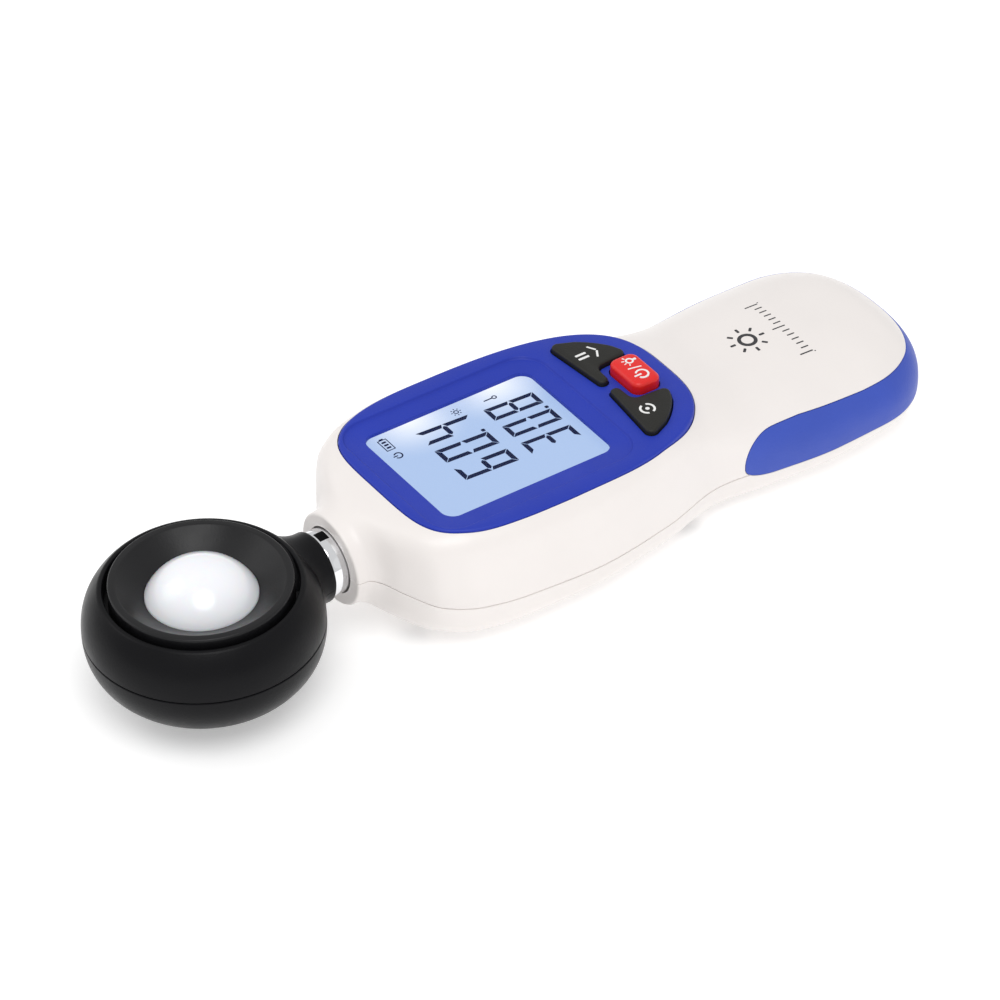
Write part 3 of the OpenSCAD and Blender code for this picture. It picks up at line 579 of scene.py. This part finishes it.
def paint_nodes():
    """Gives every CAD node that stays in view the material of its slot."""
    for row in frame["record"]["subparts"]:
        obj = frame["nodes"][row["node"]]
        obj.data.materials.clear()
        obj.data.materials.append(PAINT[row["material_slot"]])
        obj.data.set_sharp_from_angle(angle=radians(30))


def stand_for(piece, body, slot, *nodes):
    """Puts a piece on its body, in place of the CAD nodes named; slot is not used."""
    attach(piece, body)
    if nodes:
        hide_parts(*nodes)
    return piece


# --- housing --------------------------------------------------------------------------
def section(y, steps, t, upper, past=0.0, round_edge=False):
    """One ring of the upper or lower cover, ended past the seam or with a small round at it."""
    seam = column(4, y)
    low, high = (0, 180) if upper else (-180, 0)
    ring = [skin_point(y, low + (high - low) * i / steps, t) for i in range(1, steps)]
    edge = skin_point(y, 0, t).x
    sign = 1 if upper else -1
    start, end = (edge, -edge) if upper else (-edge, edge)
    if round_edge:
        # The round is made smaller where the next point of the ring is close to the seam.
        room = min(1, 0.8 * abs(ring[0].z - seam) / (SEAM_GAP + max(dz for dz, _ in EDGE_ROUND)))
        lift = 0 if upper else -SEAM_GAP * room
        corners = [[Vector((x - math.copysign(inset * room, x), y, seam + lift + sign * dz * room))
                    for dz, inset in EDGE_ROUND] for x in (start, end)]
        return corners[0] + ring + corners[1][::-1]
    floor = seam - sign * past
    return [Vector((start, y, floor))] + ring + [Vector((end, y, floor))]


def nose_inset(y):
    """Rounds off the housing's nose where the collar enters it."""
    d = NOSE_Y - y
    r = NOSE_ROUND
    return 0.0 if d >= r else r - math.sqrt(max(r * r - (r - d) ** 2, 0))


def cover_form(upper, t=0.0, past=0.0, end=NOSE_Y, fine=True):
    """The solid of one cover inset by t, fine for an outside and coarse for a cavity."""
    if fine:
        places = ring_places(TAIL_Y + t, end - NOSE_ROUND, 44, 190)
        places += [end - d for d in (0.4, 0.27, 0.14, 0.05, 0)]
    else:
        places = ring_places(TAIL_Y + t, end, 12, 40, 7)
    steps = 120 if fine else 48
    rings = [section(y, steps, t + (nose_inset(y) if fine else 0), upper, past, fine) for y in places]
    return loft("cover_form", rings)


def handle_form(t, fine=True):
    """Both covers' outside along the handle as one solid, inset by t."""
    places = ring_places(TAIL_Y + t, GRIP_TIP_Y + 6, 44 if fine else 20, 60 if fine else 24)
    n = 200 if fine else 96
    angles = [signed_angle(360 * (j + 0.5) / n) for j in range(n)]
    return loft("handle_form", [[skin_point(y, a, t) for a in angles] for y in places])


def signed_angle(a):
    return a if a <= 180 else a - 360


def grip_outline(grow):
    """Side view of the grip band as (y, z): a long round over its front end, a tight one under it."""
    past_tail = TAIL_Y - 5
    points = [(past_tail, GRIP_LOW)]
    for i in range(49):
        a = radians(-90 + 180 * i / 48)
        above = GRIP_TIP_RISE * sin(a)
        below = (GRIP_MIDDLE_Z - GRIP_LOW) * signed_pow(sin(a), GRIP_TIP_POWER)
        y = GRIP_TIP_Y - GRIP_TIP_LENGTH + GRIP_TIP_LENGTH * signed_pow(max(cos(a), 0), GRIP_TIP_POWER)
        points.append((y, GRIP_MIDDLE_Z + (above if a > 0 else below)))
    points += [(-55, 17.4), (-70, 16.5), (past_tail, 16)]
    return shrink(points, -grow) if grow else points


def grip_solid(grow, t_out, t_in):
    """The part of the handle's skin between two insets that lies in the grip's side view."""
    outline = grip_outline(grow)
    across = loft("grip_prism", [[(x, y, z) for y, z in outline] for x in (-60, 60)])
    solid = join(handle_form(t_out), across, "INTERSECT")
    return join(solid, handle_form(t_in, False), "DIFFERENCE")


def bezel_side(up):
    """Reach and powers of the bezel's outline above or below its middle."""
    return (BEZEL_UP, BEZEL_UP_POWERS) if up else (BEZEL_DOWN, BEZEL_DOWN_POWERS)


def bezel_outline(grow, n=240):
    points = []
    for i in range(n):
        a = 2 * pi * i / n
        reach, (px, py) = bezel_side(sin(a) >= 0)
        points.append(((BEZEL_HALF + grow) * signed_pow(cos(a), 2 / px),
                       (reach + grow) * signed_pow(sin(a), 2 / py)))
    return points


def inside_bezel(grow):
    """Test of a point of the face against the bezel's outline."""
    def test(x, y):
        reach, (px, py) = bezel_side(y >= 0)
        return (abs(x) / (BEZEL_HALF + grow)) ** px + (abs(y) / (reach + grow)) ** py < 1
    return test


def inside_rect(w, l, r):
    """Test of a point of the face against a rounded rectangle round the window's middle."""
    def test(x, y):
        dx, dy = max(abs(x) - (w / 2 - r), 0), max(abs(y - WINDOW_Y) - (l / 2 - r), 0)
        return dx * dx + dy * dy < r * r
    return test


def polar(test, n=720):
    """The boundary of a star-shaped region, at even angles about its middle."""
    ring = []
    for i in range(n):
        a = 2 * pi * i / n
        low, high = 0.0, 60.0
        for _ in range(34):
            mid = (low + high) / 2
            if test(mid * cos(a), mid * sin(a)):
                low = mid
            else:
                high = mid
        ring.append((low * cos(a), low * sin(a)))
    return ring


def key_outline():
    """Plan of the right-hand dark key, its corners rounded."""
    points = [(1.1, -27.4), (17.4, -25.7)]
    for i in range(13):
        a = radians(-36 - 22 * i / 12)
        points.append((18.6 * cos(a), -18.9 + 20.2 * sin(a)))
    points += [(6.5, -37.55), (6.03, -29.64), (1.4, -29.4)]
    return fillet(points, [0.95, 1.3] + [0] * 13 + [1.5, 1.6, 0.95])


def rounded_rect(w, l, r, at=(0, 0), steps=8):
    x, y = w / 2, l / 2
    corners = [(x, -y), (x, y), (-x, y), (-x, -y)]
    return [(px + at[0], py + at[1]) for px, py in fillet(corners, [r] * 4, steps)]


def mirrored(outline):
    """The same outline across the Y axis, still turning the same way."""
    return [(-x, y) for x, y in reversed(outline)]


def power_outline():
    return rounded_rect(*POWER_KEY, (0, POWER_Y))


def key_cutters(grow, low, high):
    """Prisms that clear the three keys by a gap."""
    shapes = [key_outline(), mirrored(key_outline()), power_outline()]
    return [prism(shrink(s, -grow), low, high, face_frame()) for s in shapes]


def neck_bore():
    """Room for the swivel's bush in the neck, with a narrower mouth."""
    return revolve("bore", [(0, NECK_BORE_Y), (NECK_BORE_R, NECK_BORE_Y), (NECK_BORE_R, NECK_LIP_Y),
                            (NECK_LIP_R, NECK_LIP_Y), (NECK_LIP_R, 45), (0, 45)], place=along_y())


def door_block(grow):
    """The space that the battery door takes, grown by a gap."""
    half = DOOR_HALF + grow
    return block((-half, TAIL_Y - 5, -2), (half, DOOR_END_Y + grow, DOOR_TOP_Z + grow))


def finish_cover(shell, name, node):
    """Neck, grip pocket, shading and name of either cover."""
    cut(shell, neck_bore())
    cut(shell, grip_solid(GRIP_GAP, -3, GRIP_DEPTH + 0.05))
    finish_mesh(shell, PAINT["white_shell"], 28)
    shell.name = name
    return stand_for(shell, "housing", "white_shell", node)


def build_front_cover():
    shell = cover_form(True)
    cut(shell, cover_form(True, WALL + 0.6, 1.0, CAVITY_Y, False))
    cut(shell, prism(bezel_outline(0.16), BEZEL_FOOT - 0.05, 12, face_frame()))
    cut(shell, block((-18.2, -22.2, -8), (18.2, 21.8, BEZEL_FOOT), face_frame()))
    cut(shell, *key_cutters(0.3, -7, 2))
    return finish_cover(shell, "front_shell", "front_cover")


def build_rear_cover():
    shell = cover_form(False)
    cut(shell, cover_form(False, WALL + 0.4, 1.0, CAVITY_Y, False))
    cut(shell, door_block(DOOR_GAP))
    for at in SCREWS:
        cut(shell, prism(circle(SCREW_WELL_R, 64, at), -2, SCREW_WELL_TOP))
    return finish_cover(shell, "rear_shell", "rear_cover")


def build_door():
    """The sliding door, with finger ribs and an arrow sunk into its outside."""
    door = join(cover_form(False), door_block(0), "INTERSECT")
    cut(door, cover_form(False, DOOR_T, 1.0, CAVITY_Y, False))
    for i in range(DOOR_RIBS):
        rib = rounded_rect(*DOOR_RIB, (0, DOOR_RIB_Y - DOOR_RIB_PITCH * i))
        cut(door, prism(rib, -1, DOOR_RIB_DEPTH))
    arrow = fillet(DOOR_ARROW, [0.4] * 3)
    cut(door, prism(arrow[::-1], -1, 0.3))
    finish_mesh(door, PAINT["white_shell"], 28)
    door.name = "door_panel"
    return stand_for(door, "door", "white_shell", "battery_door")


def build_grip():
    band = grip_solid(0, -GRIP_PROUD, GRIP_DEPTH)
    finish_mesh(band, PAINT["blue_rubber"], 32)
    band.name = "rubber_band"
    return stand_for(band, "housing", "blue_rubber", "grip_band")


def build_bezel():
    """The panel: rounded outer edge, wide shallow recess, opening, and a step for the window."""
    rings = []
    for t, z in ((0, BEZEL_FOOT), (0, -0.5), (0.1, -0.22), (0.28, -0.06), (0.5, 0)):
        rings.append([(x, y, z) for x, y in polar(inside_bezel(-t))])
    recess = ((0.5, 0.0), (0.2, -0.03), (0, -0.1), (-0.3, -0.4), (-0.6, -0.54), (-1.1, -0.6))
    opening = ((0.5, -0.6), (0.2, -0.66), (0, -0.8), (0, WINDOW_TOP + 0.02))
    for (w, l, r), steps in ((RECESS, recess), (OPENING, opening)):
        for grow, z in steps:
            ring = polar(inside_rect(w + grow, l + grow, r + grow / 2))
            rings.append([(x, y, z) for x, y in ring])
    w, l, r = WINDOW
    for z in (WINDOW_TOP + 0.02, BEZEL_FOOT):
        rings.append([(x, y, z) for x, y in polar(inside_rect(w + 0.2, l + 0.2, r))])
    bezel = loft("bezel_panel", rings, None, 30, face_frame(), close=True)
    cut(bezel, *key_cutters(0.25, -4, 2))
    finish_mesh(bezel, PAINT["blue_bezel"], 30)
    return stand_for(bezel, "housing", "blue_bezel", "display_bezel")


def build_window():
    outline = rounded_rect(*WINDOW, (0, WINDOW_Y))
    levels = [(BEZEL_FOOT + 0.02, 0), (WINDOW_TOP - 0.2, 0)] + round_top(WINDOW_TOP, 0.2, 3)
    pane = pad("window_pane", outline, levels, PAINT["clear_window"], face_frame())
    return stand_for(pane, "housing", "clear_window", "display_window")


# --- keys and their symbols -----------------------------------------------------------
def flat_mark(name, outlines, z, thick, paint, place):
    """Printed or moulded symbols: thin raised prisms joined in one object."""
    points, faces = [], []
    for outline in outlines:
        n, base = len(outline), len(points)
        points += [(x, y, h) for h in (z, z + thick) for x, y in outline]
        faces += [tuple(base + k for k in face) for face in rings_faces(2, n)]
    return make(name, points, faces, paint, 30, place)


def arc_band(r_in, r_out, from_a, to_a, at=(0, 0), steps=28):
    """Outline of a stretch of ring between two angles."""
    angles = [radians(from_a + (to_a - from_a) * i / steps) for i in range(steps + 1)]
    return ([(at[0] + r_out * cos(a), at[1] + r_out * sin(a)) for a in angles]
            + [(at[0] + r_in * cos(a), at[1] + r_in * sin(a)) for a in reversed(angles)])


def bar(w, l, at=(0, 0), turn=0):
    """Outline of a short stroke with rounded ends."""
    c, s = cos(radians(turn)), sin(radians(turn))
    stroke = rounded_rect(w, l, min(w, l) * 0.3)
    return [(at[0] + x * c - y * s, at[1] + x * s + y * c) for x, y in stroke]


def power_mark(at, r_in, r_out, stroke):
    """The power sign: an open ring with a stroke (width, length, rise) in its gap."""
    w, l, rise = stroke
    return [arc_band(r_in, r_out, 125, 415, at), bar(w, l, (at[0], at[1] + rise))]


def pause_mark(at):
    """Two upright bars over a chevron."""
    x, y = at
    bars = [bar(0.55, 2.4, (x + side, y)) for side in (-0.6, 0.6)]
    chevron = [bar(0.4, 2.0, (x + 0.1 + side, y - 2.9), -60 * side) for side in (-1, 1)]
    return bars + chevron


def cycle_mark(at):
    """Two arcs round a dot."""
    return [arc_band(1.15, 1.6, a, a + 140, at) for a in (20, 200)] + [circle(0.42, 24, at)]


def lamp_mark(at):
    """A bulb with short rays."""
    x, y = at
    rays = [bar(0.22, 0.6, (x + 1.3 * sin(radians(a)), y + 1.3 * cos(radians(a))), -a)
            for a in (-60, -20, 20, 60)]
    return [arc_band(0.5, 0.85, 0, 359.9, at), bar(0.55, 0.7, (x, y - 1.15))] + rays


def build_key(name, outline, levels, slot, crown, marks, mark_z, mark_t):
    """A key's cap on its flange, and its symbol."""
    body = name + "_key"
    flange = [(KEY_FOOT, -KEY_FLANGE), (KEY_FOOT + 0.7, -KEY_FLANGE), (KEY_FOOT + 0.7, 0)]
    cap = pad(name + "_cap", outline, flange + levels, PAINT[slot], face_frame(), crown)
    stand_for(cap, body, slot, name + "_button")
    symbol = flat_mark(name + "_symbol", marks, mark_z, mark_t, PAINT["ink_white"], face_frame())
    stand_for(symbol, body, slot)


def build_keys():
    dark = round_top(KEY_PROUD - 0.08, 0.55)
    for name, outline, marks in (("hold", key_outline(), pause_mark(HOLD_SIGN_AT)),
                                 ("mode", mirrored(key_outline()), cycle_mark(MODE_SIGN_AT))):
        build_key(name, outline, dark, "key_dark", 0, marks, KEY_PROUD - 0.1, 0.05)
    marks = power_mark((-2.3, POWER_Y - 0.1), 1.0, 1.4, (0.4, 1.6, 0.95))
    marks += [bar(0.3, 2.8, (0, POWER_Y), -12)] + lamp_mark((2.3, POWER_Y - 0.4))
    red = round_top(POWER_PROUD - 0.25, 0.9)
    build_key("power", power_outline(), red, "key_red", 0.2, marks, POWER_PROUD - 0.2, 0.15)


# --- display --------------------------------------------------------------------------
SEGMENTS = {"0": "abcdef", "3": "abcdg", "4": "bcfg", "6": "acdefg", "8": "abcdefg"}


def segment(name, w, h, t):
    """Outline of one bar of a seven-bar digit, its ends mitred against its neighbours."""
    u, gap, mid = t / 2, 0.09, h / 2
    left, right = u + gap, w - u - gap
    flat = {"a": [(gap - u, h + u), (w + u - gap, h + u), (right, h - u), (left, h - u)],
            "d": [(left, u), (right, u), (w + u - gap, -u), (gap - u, -u)],
            "g": [(gap, mid), (left, mid + u), (right, mid + u),
                  (w - gap, mid), (right, mid - u), (left, mid - u)]}
    if name in flat:
        return flat[name]
    upper = [(-u, mid + gap), (-u, h + u - gap), (u, h - u - gap), (u, mid + u + gap)]
    outline = upper if name in "fb" else [(x, h - y) for x, y in upper]
    return outline if name in "fe" else [(w - x, y) for x, y in outline]


def slanted(outline, at, slope=0.055):
    """Moves a digit's outline to its place and leans it over."""
    return [(at[0] + x + y * slope, at[1] + y) for x, y in outline]


def number(text, at, w, h, t, pitch):
    """Outlines of a reading in seven-bar digits w by h, with bars of thickness t."""
    shapes, x = [], at[0]
    for mark in text:
        if mark == ".":
            shapes.append(slanted(bar(t * 0.8, t * 0.8, (0, 0)), (x - pitch + w + 1.25, at[1] - 0.1)))
            continue
        shapes += [slanted(segment(s, w, h, t), (x, at[1])) for s in SEGMENTS[mark]]
        x += pitch
    return shapes


def sun(at, r, ray_w, rays=8):
    """A ring with rays round it."""
    shapes = [arc_band(r * 0.62, r, 0, 359.9, at)]
    reach = r * 1.7
    for i in range(rays):
        a = 360 * i / rays
        middle = (at[0] + reach * cos(radians(a)), at[1] + reach * sin(radians(a)))
        shapes.append(bar(ray_w, r * 0.6, middle, a - 90))
    return shapes


def battery_mark(at):
    """A battery in outline, with three charge bars and its terminal."""
    x, y = at
    charge = [bar(0.5, 1.0, (x - 0.9 + 0.9 * i, y)) for i in range(3)]
    long_sides = [bar(3.4, 0.2, (x, y + side)) for side in (0.9, -0.9)]
    ends = [bar(0.2, 2.0, (x + side, y)) for side in (-1.7, 1.7)]
    return charge + long_sides + ends + [bar(0.35, 0.9, (x + 1.95, y))]


def build_display():
    """Digits and small symbols, as raised ink on the display glass."""
    shapes = [outline for reading in READINGS for outline in number(*reading)]
    shapes += sun(LCD_SUN_AT, 0.55, 0.2)
    x, y = LCD_PIN_AT
    shapes += [arc_band(0.3, 0.55, 0, 359.9, (x, y)), bar(0.3, 2.0, (x, y + 1.4))]
    shapes += power_mark(LCD_POWER_AT, 0.65, 0.95, (0.28, 1.0, 0.6))
    shapes += battery_mark(LCD_BATTERY_AT)
    ink = flat_mark("lcd_digits", shapes, INK_Z, 0.02, PAINT["lcd_ink"], face_frame())
    stand_for(ink, "housing", "lcd_glass")


# --- swivel and head ------------------------------------------------------------------
def build_collar():
    """The chrome tube of the swivel, with a softly rounded collar between neck and head."""
    low, high, r = COLLAR
    profile = [(3, 28.2), (TUBE_R, 28.2), (TUBE_R, low), (r - 0.35, low), (r - 0.1, low + 0.1),
               (r, low + 0.35), (r, high - 0.5), (r - 0.06, high - 0.2), (r - 0.3, high),
               (TUBE_R, high), (TUBE_R, 50), (3, 50)]
    collar = revolve("collar_tube", profile, PAINT["chrome_collar"], 256, along_y(), 32)
    return stand_for(collar, "sensor_head", "chrome_collar", "swivel_tube")


def head_radius(z, t=0.0):
    """Radius of the head's outside at height z, inset by t."""
    k = min(abs(z - HEAD_SEAM_Z) / (HEAD_H - t), 1)
    return (HEAD_R - t) * (1 - k ** HEAD_POWER) ** (1 / HEAD_POWER)


def head_place():
    return Matrix.Translation((0, HEAD_Y, 0))


def stem_form():
    """The stem with its flare, an oval that widens into the head."""
    rings, first = [], STEM_Y + STEM_END_ROUND
    places = [STEM_Y, STEM_Y + 0.06, STEM_Y + 0.2, first]
    places += [first + (STEM_END_Y - first) * (i + 1) / 40 for i in range(40)]
    for y in places:
        end = max(STEM_END_ROUND - (y - STEM_Y), 0)
        ease = STEM_END_ROUND - math.sqrt(max(STEM_END_ROUND**2 - end * end, 0))
        s = min(max((y - STEM_FLARE_Y) / STEM_FLARE_LENGTH, 0), 1)
        wide = STEM_R + STEM_FLARE_WIDE * s**2.4 - ease * 0.6
        tall = STEM_R + STEM_FLARE_TALL * s**2.2 - ease * 0.6
        turns = [2 * pi * i / 160 for i in range(160)]
        rings.append([(wide * cos(a), y, AXIS_H + tall * sin(a)) for a in turns])
    return loft("stem_form", rings)


def add_stem(shell, low, high):
    """Joins on the part of the stem between two heights."""
    space = block((-60, 30, low), (60, 110, high))
    join(shell, join(stem_form(), space, "INTERSECT"), "UNION")


def tube_bore():
    profile = [(0, 42), (TUBE_R + 0.02, 42), (TUBE_R + 0.02, 56), (0, 56)]
    return revolve("bore", profile, place=along_y(), n=96)


def head_solid(profile, n=128):
    return revolve("head_solid", profile, place=head_place(), n=n)


def build_head_upper():
    start = HEAD_SEAM_Z + HEAD_EDGE[-1][0]
    arc = [(head_radius(HEAD_SEAM_Z + dz) - inset, HEAD_SEAM_Z + dz) for dz, inset in HEAD_EDGE]
    for i in range(1, 41):
        z = start + (HEAD_TOP_Z - 0.35 - start) * sin(radians(90 * i / 40))
        arc.append((head_radius(z), z))
    rim = ((19.35, 0.14), (19.1, 0.03), (18.8, 0), (18.55, 0.04), (18.4, 0.2), (18.3, 0.6), (18.2, 3.2))
    arc += [(r, HEAD_TOP_Z - drop) for r, drop in rim]
    wall = DISH_R + 0.05
    floor = [(wall, HEAD_TOP_Z - 3.2), (wall, DISH_FOOT_Z), (DISH_OPEN_R, DISH_FOOT_Z), (0, DISH_FOOT_Z)]
    shell = head_solid([(0, HEAD_SEAM_Z + 0.06)] + arc + floor, 256)
    add_stem(shell, HEAD_SEAM_Z + 0.06, 60)
    wide, top = head_radius(HEAD_SEAM_Z, HEAD_WALL), 18.9
    inner = [(0, 0), (wide, 0), (wide, HEAD_SEAM_Z), (head_radius(top, HEAD_WALL), top), (0, top)]
    cut(shell, head_solid(inner))
    cut(shell, tube_bore(), prism(circle(DISH_OPEN_R, 128, (0, HEAD_Y)), 10, 40))
    finish_mesh(shell, PAINT["head_black"], 26)
    shell.name = "upper_shell"
    return stand_for(shell, "sensor_head", "head_black", "head_upper_shell")


def build_head_lower():
    start = HEAD_SEAM_Z - HEAD_EDGE[-1][0]
    arc = [(head_radius(HEAD_SEAM_Z - dz) - inset, HEAD_SEAM_Z - dz) for dz, inset in HEAD_EDGE]
    for i in range(1, 49):
        z = start - (HEAD_H - 0.32) * sin(radians(90 * i / 48))
        arc.append((head_radius(z), z))
    shell = head_solid([(0, HEAD_SEAM_Z - 0.06)] + arc + [(0, arc[-1][1])], 256)
    add_stem(shell, -20, HEAD_SEAM_Z - 0.06)
    inner = [(head_radius(z, HEAD_WALL), z) for z in (2.6, 4, 6, 9, 12, HEAD_SEAM_Z)]
    inner = [(0, 2.6)] + inner + [(inner[-1][0], 30), (0, 30)]
    cut(shell, head_solid(inner), tube_bore())
    for a in (90, 210, 330):
        at = (HEAD_SCREW_R * cos(radians(a)), HEAD_Y + HEAD_SCREW_R * sin(radians(a)))
        boss = prism(circle(HEAD_BOSS_R, 48, at), 3, HEAD_SEAM_Z - 0.2)
        inside = [(head_radius(z, 0.6), z) for z in (1.5, 3, 5, 7, 9, 12, HEAD_SEAM_Z)]
        join(boss, head_solid([(0, 1.5)] + inside + [(0, HEAD_SEAM_Z)]), "INTERSECT")
        join(shell, boss, "UNION")
        for (r, top), foot, n in ((HEAD_WELL, -2, 64), (HEAD_PILOT, 5, 48)):
            cut(shell, prism(circle(r, n, at), foot, top))
    finish_mesh(shell, PAINT["head_black"], 26)
    shell.name = "lower_shell"
    return stand_for(shell, "sensor_head", "head_black", "head_lower_shell")


def build_dish():
    """The ring round the dome: a rounded rim and a cone that curves down to the dome."""
    profile = [(DISH_R, DISH_FOOT_Z), (DISH_R, DISH_RIM[1] - 0.13)]
    x, z, r = DISH_RIM
    profile += [(x + r * cos(radians(a)), z + r * sin(radians(a))) for a in range(10, 91, 16)]
    x, z, r = DISH_LIP
    profile += [(x - r * sin(radians(a)), z + r * cos(radians(a))) for a in range(0, 37, 9)]
    (x0, z0), (x1, z1) = DISH_CONE
    for i in range(1, 17):
        s = i / 16
        profile.append((x0 - (x0 - x1) * s, z0 - (z0 - z1) * (s + DISH_BULGE * s * (1 - s))))
    r, z = DISH_LEDGE
    profile += [(x1, z), (r, z), (r, DISH_FOOT_Z)]
    dish = revolve("dish", profile, PAINT["dish_black"], 256, head_place(), 28)
    return stand_for(dish, "sensor_head", "dish_black", "dish_ring")


def cap_arc(ball, centre, angles):
    """Points (radius, height) on a ball at angles from its top."""
    return [(ball * sin(a), centre + ball * cos(a)) for a in angles]


def build_dome():
    """The hollow diffuser, a cap of a ball."""
    ball = (DOME_R**2 + DOME_RISE**2) / (2 * DOME_RISE)
    centre = DOME_BASE_Z + DOME_RISE - ball
    hollow = ball - DOME_WALL
    outer, inner = math.asin(DOME_R / ball), math.asin(9 / hollow)
    profile = [(9, 21.12), (DOME_R, 21.12)]
    profile += cap_arc(ball, centre, [outer * (1 - i / 48) for i in range(49)])
    profile += cap_arc(hollow, centre, [inner * i / 24 for i in range(25)])
    dome = revolve("dome", profile, PAINT["dome_white"], 256, head_place(), 40)
    return stand_for(dome, "sensor_head", "dome_white", "diffuser_dome")


# --- printing on the handle -----------------------------------------------------------
def build_handle_mark():
    """A generic light symbol over a plain scale, printed on the handle."""
    shapes = sun((0, SUN_Y), 2.0, 0.55)
    for i in range(SCALE_STROKES):
        tall = 3.0 if i % 6 == 0 else 1.7
        shapes.append(bar(0.3, tall, (SCALE_PITCH * (i - (SCALE_STROKES - 1) / 2), SCALE_Y + tall / 2)))
    shapes.append(bar(19, 0.3, (0, SCALE_Y - 0.3)))
    points, faces = [], []
    for outline in shapes:
        n, base = len(outline), len(points)
        points += [(x, y, roof_z(x, y) + h) for h in (-0.05, 0.03) for x, y in outline]
        faces += [tuple(base + k for k in face) for face in rings_faces(2, n)]
    mark = make("handle_mark", points, faces, PAINT["ink_dark"], 30)
    return stand_for(mark, "housing", "white_shell")


# --- stage ----------------------------------------------------------------------------
def build_floor():
    """A white sheet that glows a little, as in a product photograph."""
    paint, tree, shader = node_material("floor_paint")
    mottle = span(tree, noise(tree, 4), 0, 1)
    tone = blend_colour(tree, mottle, (0.86, 0.86, 0.86), (0.88, 0.88, 0.88))
    tree.links.new(tone, shader.inputs["Base Color"])
    shader.inputs["Roughness"].default_value = 0.7
    shader.inputs["Specular IOR Level"].default_value = 0.0
    shader.inputs["Emission Color"].default_value = (1, 1, 1, 1)
    shader.inputs["Emission Strength"].default_value = FLOOR_GLOW
    corners = [(x * FLOOR_HALF, y * FLOOR_HALF, 0) for x, y in ((-1, -1), (1, -1), (1, 1), (-1, 1))]
    floor = make("floor", corners, [(0, 1, 2, 3)], paint)
    floor.location.z = FLOOR_DROP


def build_world():
    world = bpy.data.worlds.new("studio")
    world.use_nodes = True
    sky = world.node_tree.nodes["Background"]
    sky.inputs["Color"].default_value = (1, 1, 1, 1)
    sky.inputs["Strength"].default_value = WORLD_LIGHT
    bpy.context.scene.world = world


def build_lamp(name, at, size, power):
    """A round lamp at a place, turned to the object."""
    data = bpy.data.lights.new(name, "AREA")
    data.shape = "DISK"
    data.size = size
    data.energy = power
    lamp = bpy.data.objects.new(name, data)
    lamp.location = at
    lamp.rotation_euler = (Vector(LAMP_AIM) - Vector(at)).to_track_quat("-Z", "Y").to_euler()
    bpy.context.scene.collection.objects.link(lamp)


def build_stage():
    build_floor()
    build_world()
    for lamp in LAMPS:
        build_lamp(*lamp)
    bpy.context.scene.view_settings.view_transform = "Standard"


def build_camera():
    data = bpy.data.cameras.new("camera")
    data.lens = CAMERA_LENS
    data.sensor_width = SENSOR_WIDTH
    data.clip_start = 0.05
    camera = bpy.data.objects.new("camera", data)
    forward = (Vector(CAMERA_AIM) - Vector(CAMERA_AT)).normalized()
    turn = forward.to_track_quat("-Z", "Y").to_matrix().to_4x4()
    roll = Matrix.Rotation(radians(CAMERA_ROLL), 4, "Z")
    camera.matrix_world = Matrix.Translation(CAMERA_AT) @ turn @ roll
    bpy.context.scene.collection.objects.link(camera)
    bpy.context.scene.camera = camera


build_camera()
build_stage()
paint_nodes()
build_front_cover()
build_rear_cover()
build_door()
build_grip()
build_bezel()
build_window()
build_display()
build_keys()
build_collar()
build_head_upper()
build_head_lower()
build_dish()
build_dome()
build_handle_mark()
